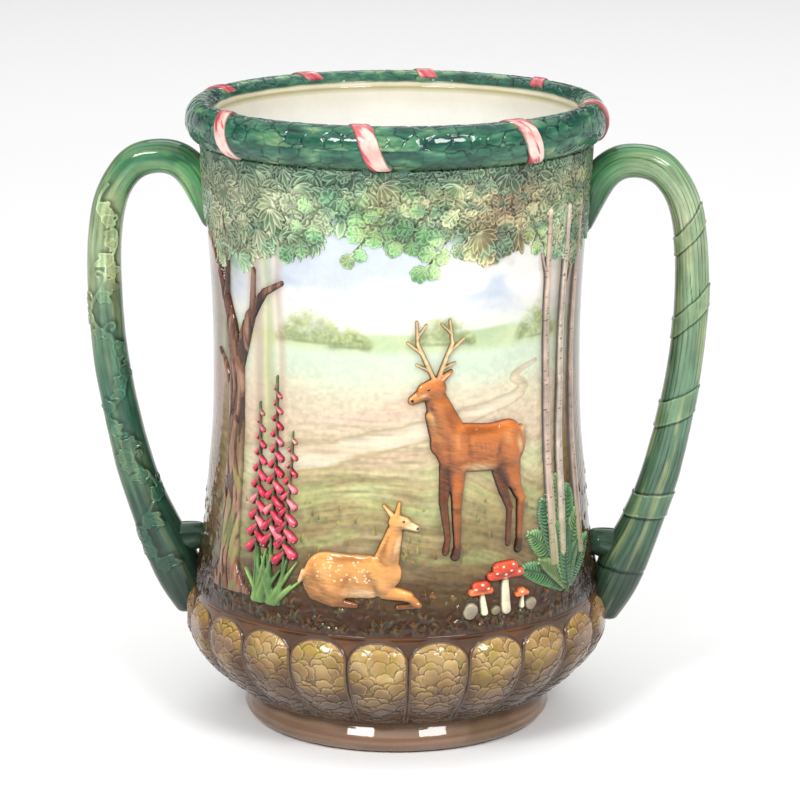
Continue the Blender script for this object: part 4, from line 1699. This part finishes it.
# gentle wander of the hand-pressed roll
wob_r = (fbm((TH * R0).astype(f4), 0 * Ts, 60, 10, 631, 2) - 0.5) * 0.5
Rr = Rr + wob_r * outside * np.maximum(cosp, 0)
inner_low = (PH > math.radians(140)) & (PH < math.radians(285))
Rr = np.where(inner_low & (Zr < 212.2), np.maximum(Rr, 61.5), Rr)
ps = Plain()
ps.H, ps.C, ps.du = Hr.astype(f4).T.copy(), Cr.transpose(1, 0, 2).copy(), 0.28
pooled(ps, 0.7)
Cr = ps.C.transpose(1, 0, 2)
co = wrap_on(TH, Rr, Zr).reshape(-1, 3)
jj = np.arange(nrp)[:, None]
ii = np.arange(nrt)[None, :]
q = np.stack([jj * nrt + ii, jj * nrt + (ii + 1) % nrt,
              ((jj + 1) % nrp) * nrt + (ii + 1) % nrt,
              ((jj + 1) % nrp) * nrt + ii], -1).reshape(-1, 4)


def roll_uv(loops, counts, starts):
    iu_ = (loops % nrt).astype(f4) / nrt
    jv = (loops // nrt).astype(f4) / nrp
    ff = np.repeat(np.arange(len(counts)), counts)
    out = []
    for x in (iu_, jv):
        hi = np.zeros(len(counts), f4)
        np.maximum.at(hi, ff, x)
        out.append(x + ((hi[ff] > 0.75) & (x < 0.25)))
    return np.stack(out, -1) * 0.998 + 0.001


ob = make("rim_roll", co, q, uv=roll_uv, col=Cr.reshape(-1, 3), mats=[M_ROLL])
finish_piece(ob, "roll_glaze", "rim_roll")

# ribbon: eight bands of one helix, from under the roll to its inner shoulder
WRAPS = [-53.6, -6.7, 38.6, 83.0, 134.0, 175.0, 213.0, 252.0]
slant = math.tan(math.radians(22.0))
vs, fs, cs, uvs, base_i = [], [], [], [], 0
nw_, np_ = 34, 110
for bi, cam in enumerate(WRAPS):
    th0 = math.radians(cam + 3.5)
    p = np.radians(np.linspace(-76, 139, np_))
    w = np.linspace(-1, 1, nw_)
    P_, W_ = np.meshgrid(p, w, indexing="ij")
    width = 3.15 / math.cos(math.radians(22))
    uoff = W_ * width - slant * P_ * tube
    tt = th0 + uoff / (RR_ + RA * np.cos(P_))
    nn = fbm((uoff + 50 * bi + 100).astype(f4), (P_ * tube + 40).astype(f4),
             4, 3, 641, 3, period=900.0)
    lift = 0.30 + 0.42 * (1 - np.abs(W_) ** 6) - 0.55 * step(0.93, 1.0,
                                                             np.abs(W_))
    lift = lift + (nn - 0.5) * 0.22
    ends = step(139, 133, np.degrees(P_)) * step(-76, -70, np.degrees(P_))
    lift = mix(-0.6, lift, ends)
    rr_ = RR_ + (RA + lift) * np.cos(P_)
    zz_ = RZ + (RB + lift) * np.sin(P_)
    zz_ = np.minimum(zz_, 216.4)
    co_ = wrap_on(tt, rr_, zz_).reshape(-1, 3)
    # soft strokes drawn along the ribbon, fuller at its ends and left edge
    st = fbm((W_ * 3.2 + 0.35 * P_ * tube + 60 + 30 * bi).astype(f4),
             (P_ * tube + 50).astype(f4), 1.5, 5.5, 651, 3, period=900.0)
    bl = fbm((W_ * 3.2 + 90 + 30 * bi).astype(f4),
             (P_ * tube + 80).astype(f4), 5, 6, 655, 2, period=900.0)
    up = np.clip((np.degrees(P_) + 20) / 110, 0, 1)
    back = 0.10 if abs(cam) > 100 else 0.0
    k = step(0.41, 0.55, st + 0.26 * (up - 0.46) - 0.08 * W_ +
             0.30 * (bl - 0.5) + back)
    c_ = ramp(nn, [(0.3, (224, 170, 160)), (0.5, (236, 196, 184)),
                   (0.7, (244, 216, 204))])
    red = ramp(st, [(0.4, (216, 116, 118)), (0.6, (200, 76, 86)),
                    (0.75, (176, 50, 62))])
    c_ = mix(c_, red, (k * 0.85)[..., None])
    c_ = mix(c_, rgb(70, 74, 54), (step(0.84, 1.0, np.abs(W_)) * 0.6)[..., None])
    vs.append(co_)
    cs.append(c_.reshape(-1, 3))
    fs.append(ring_faces(np_, nw_, close=False)[:, ::-1] + base_i)
    uvs.append(np.stack([(W_ * 0.48 + 0.5 + bi) / 8,
                         np.linspace(0.01, 0.99, np_)[:, None] +
                         0 * W_], -1).reshape(-1, 2))
    base_i += len(co_)
ob = make("rim_ribbon", np.concatenate(vs), np.concatenate(fs),
          uv=np.concatenate(uvs), col=np.concatenate(cs), mats=[M_RIBBON])
finish_piece(ob, "ribbon_glaze", "rim_ribbon")

# =================================================================== handles
HANDLE = np.array([
    (64.3, 170.3, 1.3, 0.45), (65.2, 175.5, 3.0, 0.75),
    (66.0, 181.0, 4.9, 1.05), (68.0, 187.1, 6.0, 1.18),
    (71.9, 192.0, 6.15, 1.12), (76.6, 194.4, 6.1, 1.03),
    (82.0, 194.8, 6.0, 1.0), (88.0, 193.3, 6.1, 1.0),
    (93.3, 188.5, 5.9, 1.0), (97.4, 180.8, 5.9, 1.0),
    (99.75, 169.5, 5.95, 1.0), (100.6, 155.0, 6.1, 1.0),
    (100.15, 139.0, 6.2, 1.0), (98.3, 121.0, 6.3, 1.0),
    (95.0, 103.0, 6.4, 1.02), (90.9, 86.0, 6.8, 1.05),
    (86.0, 71.5, 7.2, 1.12), (80.6, 58.5, 8.3, 1.22),
    (75.6, 47.0, 8.4, 1.25), (70.0, 34.6, 6.0, 1.0)])


def smooth_path(k, n):
    # natural cubic through the handle's sections, evenly spaced
    d = np.r_[0, np.cumsum(np.hypot(*np.diff(k[:, :2], axis=0).T))]
    m = len(d)
    h = np.diff(d)
    A = np.zeros((m, m))
    A[0, 0] = A[-1, -1] = 1
    for i in range(1, m - 1):
        A[i, i - 1], A[i, i], A[i, i + 1] = h[i - 1], 2 * (h[i - 1] + h[i]), \
            h[i]
    B = np.zeros(k.shape)
    B[1:-1] = 6 * ((k[2:] - k[1:-1]) / h[1:, None] -
                   (k[1:-1] - k[:-2]) / h[:-1, None])
    M = np.linalg.solve(A, B)
    s = np.linspace(0, d[-1], n)
    i = np.clip(np.searchsorted(d, s) - 1, 0, m - 2)
    t0, t1 = (d[i + 1] - s)[:, None], (s - d[i])[:, None]
    hh = h[i][:, None]
    val = M[i] * t0 ** 3 / (6 * hh) + M[i + 1] * t1 ** 3 / (6 * hh) + \
        (k[i] / hh - M[i] * hh / 6) * t0 + (k[i + 1] / hh - M[i + 1] * hh / 6) * t1
    return s, val


NS, NP = 760, 128
hs, hv = smooth_path(HANDLE, NS)
tan = np.gradient(hv[:, :2], hs, axis=0)
tan /= np.linalg.norm(tan, axis=1)[:, None]
nor = np.stack([-tan[:, 1], tan[:, 0]], 1)          # outward in the plane
HL = hs[-1]
hp = 2 * math.pi * np.arange(NP) / NP
HP, HS = np.meshgrid(hp, hs)
ca, sa = np.cos(HP), np.sin(HP)


def s_at(x, z):
    return hs[np.argmin((hv[:, 0] - x) ** 2 + (hv[:, 1] - z) ** 2)]


def handle_piece(side):
    """side +1 right, reeded and bound with ribbon; -1 left, with a vine."""
    q_ = (HP * 6.4).astype(f4)              # round the section, mm
    s_ = HS.astype(f4)                      # along the handle, mm
    per = 2 * math.pi * 6.4
    seed = 700 if side > 0 else 760

    def ring_noise(cs_, cq, sd, octv=3):
        # seamless round the section
        return fbm(q_, s_, cq, cs_, sd, octv, period=per)

    big = ring_noise(30, 13, seed, 3)
    mid_ = ring_noise(9, 4, seed + 3, 3)
    fine = ring_noise(16, 0.8, seed + 6, 3)
    H = (big - 0.5) * 0.5 + (mid_ - 0.5) * 0.18
    f = s_ / HL
    if side > 0:
        C = ramp(f + (big - 0.5) * 0.16, [
            (0.00, (34, 70, 52)), (0.06, (46, 92, 62)), (0.11, (78, 136, 88)),
            (0.17, (118, 150, 108)), (0.26, (156, 172, 138)),
            (0.38, (132, 158, 120)), (0.50, (114, 148, 112)),
            (0.62, (94, 130, 102)), (0.76, (66, 98, 78)),
            (0.88, (58, 84, 64)), (1.0, (42, 58, 46))])
        outer = step(0.2, 0.95, ca)
        C += (rgb(86, 154, 104) - C) * (outer * 0.45 * step(0.35, 0.1, f))[..., None]
        inner_ = step(0.2, 0.95, -ca)
        C += (rgb(70, 92, 66) - C) * (inner_ * 0.5)[..., None]
        # reeds: fine dark lines along the handle
        nre = 26
        wv = q_ / per * nre + (ring_noise(26, 10, seed + 9, 2) - 0.5) * 2.2
        li = np.abs((wv % 1.0) - 0.5) * 2
        lm = step(0.30, 0.0, li) * step(0.35, 0.6, ring_noise(22, 1.5,
                                                              seed + 12, 2))
        body = step(0.02, 0.10, f)
        C *= (1 - 0.46 * lm * body)[..., None]
        H -= 0.10 * step(0.45, 0.0, li) * body
        C += (rgb(190, 184, 128) - C) * (
            step(0.56, 0.7, ring_noise(34, 2.2, seed + 15, 3)) * 0.45
        )[..., None]
    else:
        C = ramp(f + (big - 0.5) * 0.18, [
            (0.00, (48, 110, 68)), (0.05, (84, 170, 98)), (0.10, (96, 164, 104)),
            (0.17, (116, 156, 104)), (0.24, (134, 158, 116)),
            (0.33, (136, 156, 118)), (0.42, (138, 156, 120)),
            (0.50, (88, 120, 92)), (0.62, (50, 92, 74)),
            (0.74, (42, 84, 68)), (0.88, (48, 78, 62)),
            (1.0, (40, 58, 48))])
        pat = step(0.52, 0.62, ring_noise(14, 7, seed + 9, 3)) * \
            step(0.08, 0.12, f) * step(0.28, 0.2, f)
        C += (rgb(38, 94, 70) - C) * (pat * 0.6)[..., None]
        C += (rgb(150, 142, 96) - C) * (
            step(0.56, 0.7, ring_noise(30, 3.0, seed + 15, 3)) * 0.32
        )[..., None]
        C *= (1 + (fine - 0.5) * 0.20)[..., None]
    C *= (1 + (fine - 0.5) * 0.34)[..., None]
    C *= (1 + (mid_ - 0.5) * 0.30)[..., None]
    # dark glaze at the two joints
    jd = np.exp(-(s_ / 9.0) ** 2) * 0.5 + step(HL - 22, HL - 4, s_) * 0.35
    C += (rgb(30, 52, 44) - C) * jd[..., None]

    # what is laid on the handle: cover, rise and colour
    LA = np.zeros(HS.shape, f4)
    LH = np.zeros(HS.shape, f4)
    LC = C * 1.0
    if side > 0:
        for (x, z), wd, sl in (((99.6, 171.0), 6.6, -5.2),
                               ((100.5, 143.1), 7.4, -6.4),
                               ((98.4, 109.6), 9.2, -4.2),
                               ((88.8, 75.2), 8.6, -2.4)):
            s0 = s_at(x, z)
            # seen from the front the outer side lies higher
            ax = s_ - s0 + (-sl) * ca
            d = wd / 2 - np.abs(ax) + (mid_ - 0.5) * 0.5
            m = step(-0.20, 0.20, d)
            tone_ = C * 0.7 + 0.3 * ramp(big, [(0.3, (124, 158, 112)),
                                               (0.7, (164, 186, 136))])
            tone_ = tone_ * (1 + (ring_noise(6, 5, seed + 21, 3) - 0.5) *
                             0.35)[..., None]
            edge_ = np.exp(-((d - 0.45) / 0.30) ** 2)
            tone_ = mix(tone_, tone_ * 0.4 + rgb(176, 200, 150) * 0.6,
                        (edge_ * 0.5)[..., None])
            LC[:] = mix(LC, tone_, m[..., None])
            LH[:] = np.maximum(LH, (0.24 + 0.20 * edge_) * m)
            LA[:] = np.maximum(LA, m)
            ln = np.exp(-((d + 0.35) / 0.42) ** 2)
            C[:] = mix(C, C * 0.42, (ln * 0.75)[..., None])
            H[:] = H - 0.14 * ln
        s0 = s_at(80.5, 51.5)
        ln = np.exp(-((s_ - s0 + 2.0 * ca) / 0.5) ** 2)
        C[:] = mix(C, C * 0.5, (ln * 0.7)[..., None])
        H[:] = H - 0.2 * ln
    else:
        sheet = Sheet(0.0, 0.0, per / 128, 128, int(HL / (per / 128)) + 1,
                      ring=True)
        r = np.random.default_rng(77)
        # one long stem that wanders round the front, with curls and leaves
        front = 1.5 * math.pi * 6.4           # -Y side of the left handle
        stem = []
        for t in np.linspace(0.25, 0.91, 90):
            stem.append((front + 4.6 * math.sin(t * 31.0) +
                         1.5 * math.sin(t * 71.0) - 0.6, t * HL))
        stem = np.array(stem)

        def trail(pts, w0, h, c):
            p = np.array(pts)
            for a_, b_ in zip(p[:-1], p[1:]):
                w = sheet.near(min(a_[0], b_[0]) - 2, max(a_[0], b_[0]) + 2,
                               min(a_[1], b_[1]) - 2, max(a_[1], b_[1]) + 2)
                if w is None:
                    continue
                at, x, y = w
                d, t = segment(x, y, a_, b_)
                m = step(w0, w0 * 0.45, d)
                sheet.H[at] = np.maximum(sheet.H[at],
                                         h * step(w0, 0, d) ** 0.7)
                sheet.A[at] = np.maximum(sheet.A[at], m)
                sheet.C[at] = c

        sheet.C[:] = 1.0
        one = np.ones(3, f4)
        trail(stem, 0.95, 0.46, one * 1.08)
        for k in range(20):
            i0 = int(r.integers(4, 86))
            b_ = stem[i0]
            sd_ = 1 if k % 2 else -1
            cpts = []
            rad, a0_ = r.uniform(1.8, 3.0), r.uniform(-0.5, 0.5)
            for t in np.linspace(0, 1, 12):
                cpts.append((b_[0] + sd_ * rad * (1 - math.cos(t * 4.2)) *
                             (1 - 0.35 * t), b_[1] - rad * math.sin(t * 4.2) *
                             (1 - 0.35 * t) - 2.2 * t))
            trail(cpts, 0.62, 0.36, one * 1.05)
        # ivy leaves: three to five points on a short stalk
        for k in range(30):
            b_ = stem[int(5 + k * 2.85) % 88]
            sd_ = 1 if k % 2 else -1
            a_ = math.pi / 2 + sd_ * r.uniform(0.5, 1.9) + math.pi * (k % 3 == 0)
            L = r.uniform(4.2, 6.0)
            cx_, cy_ = b_[0] + 1.2 * math.cos(a_), b_[1] + 1.2 * math.sin(a_)
            w = sheet.near(cx_ - L - 1, cx_ + L + 1, cy_ - L - 1, cy_ + L + 1)
            if w is None:
                continue
            at, x, y = w
            d = np.full(x.shape, -9.0, f4)
            vein = np.zeros(x.shape, f4)
            for j, (da, lf, wf) in enumerate(((0, 0.92, 0.36),
                                              (0.95, 0.66, 0.30),
                                              (-0.95, 0.66, 0.30))):
                ex_, ey_ = math.cos(a_ + da), math.sin(a_ + da)
                q1, t = segment(x, y, (cx_, cy_),
                                (cx_ + L * lf * ex_, cy_ + L * lf * ey_))
                dd = L * wf * np.clip(1 - t, 0, 1) ** 0.5 + 0.12 - q1
                vein = np.maximum(vein, np.exp(-(q1 / 0.2) ** 2) * (t < .85))
                d = np.maximum(d, dd)
            m = step(-0.15, 0.15, d)
            hh = 0.16 + 0.30 * np.exp(-((d - 0.28) / 0.24) ** 2) + \
                0.14 * vein + 0.06 * r.random()
            sheet.H[at] = mix(sheet.H[at], hh, m)
            sheet.A[at] = np.maximum(sheet.A[at], m)
            tn = r.uniform(0.90, 1.06)
            sheet.C[at] = mix(sheet.C[at], one * tn * (
                1 + 0.26 * np.exp(-((d - 0.28) / 0.24) ** 2) +
                0.10 * vein)[..., None], m[..., None])
        jv = np.clip((s_ / sheet.du).astype(int), 0, sheet.nv - 1)
        iv = np.arange(128)[None, :] + 0 * jv
        LA[:], LH[:] = sheet.A[jv, iv], sheet.H[jv, iv]
        halo = blur(sheet.A, 2, True)[jv, iv]
        LC[:] = C * 1.06 * sheet.C[jv, iv]
        C[:] = C * (1 - 0.40 * np.clip(halo * 1.5 - LA, 0, 1) *
                    (1 - LA))[..., None]
    hvx, hvz = hv[:, 0][:, None], hv[:, 1][:, None]
    a = hv[:, 2][:, None] - 0.25
    b = 6.9 * hv[:, 3][:, None] - 0.25
    # slightly squared oval section
    e_ = 2 / 2.25
    cx = np.sign(ca) * np.abs(ca) ** e_
    sx = np.sign(sa) * np.abs(sa) ** e_
    cap = np.minimum(1.0, np.sqrt(np.clip(1 - (1 - np.minimum(s_ / 2.2, 1))
                                          ** 2, 0, 1)))
    cap2 = np.sqrt(np.clip(1 - (1 - np.minimum((HL - s_) / 3.0, 1)) ** 2, 0, 1))
    cap = cap * cap2
    Hc = np.clip(H, -0.6, 0.22)

    def skin(h):
        px = hvx + nor[:, :1] * (a + h) * cx * cap
        pz = hvz + nor[:, 1:] * (a + h) * cx * cap
        py = (b + h) * sx * cap
        # whatever lies in the cup's wall stops inside the wall
        rad = np.hypot(px, py)
        lim = np.where(pz < 47, np.interp(pz, BAND[:, 1], BAND[:, 0]) - 2.4,
                       wall_r(pz)) - 1.0
        k = np.where(rad < lim, lim / np.maximum(rad, 1e-6), 1.0)
        return px * k, py * k, pz

    px, py, pz = skin(Hc)
    hs_ = Plain()
    hs_.H, hs_.C, hs_.du = Hc.astype(f4), C, 0.3
    pooled(hs_, 0.8)
    C = hs_.C
    co = np.stack([px * side, py, pz], -1).reshape(-1, 3) * MM
    qf = ring_faces(NS, NP)
    if side < 0:
        qf = qf[:, ::-1]
    # caps
    c0 = co.reshape(NS, NP, 3)[0].mean(0)
    c1 = co.reshape(NS, NP, 3)[-1].mean(0)
    n0 = NS * NP
    i = np.arange(NP)
    t0 = np.stack([np.full(NP, n0), (i + 1) % NP, i], -1)
    t1 = np.stack([np.full(NP, n0 + 1), (NS - 1) * NP + i,
                   (NS - 1) * NP + (i + 1) % NP], -1)
    if side < 0:
        t0, t1 = t0[:, ::-1], t1[:, ::-1]
    co = np.concatenate([co, [c0, c1]])
    cc = np.concatenate([C.reshape(-1, 3), [C[0, 0], C[-1, 0]]])
    # thumb spur at the foot of the handle
    nu_, nv_ = 64, 48
    a_ = np.linspace(0, math.pi, nv_)[:, None]
    b_ = (2 * math.pi * np.arange(nu_) / nu_)[None, :]
    ax_, az_, bx_, bz_ = 70.2, 61.1, 76.2, 60.1
    dl = math.hypot(bx_ - ax_, bz_ - az_)
    dx_, dz_ = (bx_ - ax_) / dl, (bz_ - az_) / dl
    t_ = step(math.pi * 0.30, math.pi * 0.62, a_)
    sr = 5.15 + (5.7 - 5.15) * t_
    nsp = fbm((b_ * 10 + 0 * a_).astype(f4), (a_ * 5 + 0 * b_).astype(f4), 5,
              4, seed + 31, 3, period=2 * math.pi * 10)
    sr = sr - 0.35 + 0.5 * nsp * np.sin(a_)
    al_, pe_ = -np.cos(a_) * sr, np.sin(a_) * sr
    mx_, mz_ = ax_ + (bx_ - ax_) * t_, az_ + (bz_ - az_) * t_
    sx_ = mx_ + dx_ * al_ - dz_ * pe_ * np.cos(b_)
    sz_ = mz_ + dz_ * al_ + dx_ * pe_ * np.cos(b_)
    sy_ = pe_ * np.sin(b_)
    rad = np.hypot(sx_, sy_)
    lim = wall_r(sz_) - 1.0
    k = np.where(rad < lim, lim / np.maximum(rad, 1e-6), 1.0)
    sp = np.stack([sx_ * k * side, sy_ * k, sz_], -1).reshape(-1, 3) * MM
    n1 = len(co)
    qs = ring_faces(nv_, nu_)
    if side > 0:
        qs = qs[:, ::-1]
    qs = qs + n1
    csp = ramp(nsp, [(0.3, (38, 62, 50)), (0.7, (72, 98, 72))])
    co = np.concatenate([co, sp])
    cc = np.concatenate([cc, csp.reshape(-1, 3)])
    uvv = np.zeros((len(co), 2), f4)

    def h_uv(loops, counts, starts):
        main = loops < NS * NP
        iu2 = np.where(main, (loops % NP) / NP, 0.5)
        jv2 = np.where(main, (loops // NP) / NS, 0.0)
        spur_ = loops >= n1
        li_ = loops - n1
        iu2 = np.where(spur_, (li_ % nu_) / nu_, iu2)
        ff = np.repeat(np.arange(len(counts)), counts)
        hi = np.zeros(len(counts))
        np.maximum.at(hi, ff, iu2)
        iu2 = iu2 + ((hi[ff] > 0.75) & (iu2 < 0.25))
        vq = np.where(spur_, 0.945 + 0.05 * (li_ // nu_) / nv_,
                      0.935 * jv2)
        vq = np.where((loops == n0 + 1), 0.935, vq)
        return np.stack([iu2 * 0.996 + 0.002, vq + 0.002], -1)

    name = "handle_right" if side > 0 else "handle_left"
    ob_ = make(name, co, [qf, qs, t0, t1], uv=h_uv, col=cc, mats=[M_HANDLE])
    finish_piece(ob_, "handle_glaze", name)
    # the ribbon or vine itself, its edge dipping into the handle
    up_ = Hc + mix(-0.30, LH + 0.02, step(0.0, 0.8, LA))
    lx_, ly_, lz_ = skin(np.minimum(up_, 0.70))
    co2 = np.stack([lx_ * side, ly_, lz_], -1).reshape(-1, 3) * MM
    q2 = ring_faces(NS, NP)
    if side < 0:
        q2 = q2[:, ::-1]
    q2 = q2[(LA > 0.02).ravel()[q2].any(1)]
    used_ = np.zeros(len(co2), bool)
    used_[q2.ravel()] = True
    new_ = np.cumsum(used_) - 1
    ic = np.tile(np.arange(NP), NS)[used_]
    jr = np.repeat(np.linspace(0.01, 0.99, NS), NP)[used_]

    def l_uv(loops, counts, starts):
        i_ = ic[loops] / NP
        ff = np.repeat(np.arange(len(counts)), counts)
        hi = np.zeros(len(counts))
        np.maximum.at(hi, ff, i_)
        i_ = i_ + ((hi[ff] > 0.75) & (i_ < 0.25))
        return np.stack([i_ * 0.996 + 0.002, jr[loops]], -1)

    name = "handle_ribbon" if side > 0 else "handle_vine"
    ob_ = make(name, co2[used_], new_[q2], uv=l_uv,
               col=LC.reshape(-1, 3)[used_], mats=[M_HANDLE])
    finish_piece(ob_, "handle_glaze" if side > 0 else "leaf_glaze", name)


handle_piece(1)
handle_piece(-1)

# ===================================================== floor, light and camera
fl = bpy.data.meshes.new("floor")
fl.from_pydata([(-6, -6, 0), (6, -6, 0), (6, 6, 0), (-6, 6, 0)], [],
               [(0, 1, 2, 3)])
floor = bpy.data.objects.new("floor", fl)
bpy.context.scene.collection.objects.link(floor)
fm_ = bpy.data.materials.new("floor_white")
fm_.use_nodes = True
b_ = fm_.node_tree.nodes["Principled BSDF"]
b_.inputs["Base Color"].default_value = (0.95, 0.95, 0.95, 1)
b_.inputs["Roughness"].default_value = 0.7
b_.inputs["Specular IOR Level"].default_value = 0.2
fl.materials.append(fm_)

world = bpy.data.worlds.new("studio")
bpy.context.scene.world = world
world.use_nodes = True
bg = world.node_tree.nodes["Background"]
bg.inputs[0].default_value = (1.0, 1.0, 1.0, 1)
wn, wl = world.node_tree.nodes, world.node_tree.links
# pale at the horizon, dim above
tc = wn.new("ShaderNodeTexCoord")
sp_ = wn.new("ShaderNodeSeparateXYZ")
wl.new(tc.outputs["Generated"], sp_.inputs[0])
wr = wn.new("ShaderNodeMapRange")
wr.interpolation_type = "SMOOTHSTEP"
wr.inputs["From Min"].default_value = 0.08
wr.inputs["From Max"].default_value = 0.26
wr.inputs["To Min"].default_value = 0.80
wr.inputs["To Max"].default_value = 0.13
wl.new(sp_.outputs[2], wr.inputs["Value"])
wl.new(wr.outputs[0], bg.inputs[1])


def softbox(name, az, el, dist, sx, sy, power, col=(1, 1, 1)):
    la = bpy.data.lights.new(name, "AREA")
    la.shape = "RECTANGLE"
    la.size, la.size_y = sx, sy
    la.energy = power
    la.color = col
    ob = bpy.data.objects.new(name, la)
    bpy.context.scene.collection.objects.link(ob)
    a, e = math.radians(az), math.radians(el)
    tgt = Vector((0, 0, 0.12))
    p = tgt + dist * Vector((math.sin(a) * math.cos(e),
                             -math.cos(a) * math.cos(e), math.sin(e)))
    ob.location = p
    ob.rotation_euler = (tgt - p).to_track_quat("-Z", "Y").to_euler()
    return ob


softbox("key_left", -26, 33, 1.25, 0.42, 0.26, 9.2)
softbox("key_right", 33, 33, 1.25, 0.42, 0.26, 8.0)
softbox("back_fill", 180, 40, 2.2, 1.2, 0.8, 5.0)
# even light from above, the same wherever the floor is
top = bpy.data.lights.new("overhead", "SUN")
top.angle = math.radians(110)
top.energy = 2.1
top_ob = bpy.data.objects.new("overhead", top)
bpy.context.scene.collection.objects.link(top_ob)
top_ob.location = (0, 0, 3.0)

D, H_, PITCH, AZ = 1.120, 0.3781, 0.2345, math.radians(3.5)
cd = bpy.data.cameras.new("camera")
cam = bpy.data.objects.new("camera", cd)
bpy.context.scene.collection.objects.link(cam)
cam.location = (D * math.sin(AZ), -D * math.cos(AZ), H_)
fw = Vector((-math.sin(AZ) * math.cos(PITCH), math.cos(AZ) * math.cos(PITCH),
             -math.sin(PITCH)))
cam.rotation_euler = fw.to_track_quat("-Z", "Y").to_euler()
cd.sensor_width = 36.0
cd.lens = 3339.9 / 800 * 36.0
cd.shift_x = 3.4 / 800
cd.clip_start, cd.clip_end = 0.05, 50
bpy.context.scene.camera = cam
bpy.context.scene.view_settings.view_transform = "Standard"
bpy.context.scene.view_settings.look = "None"
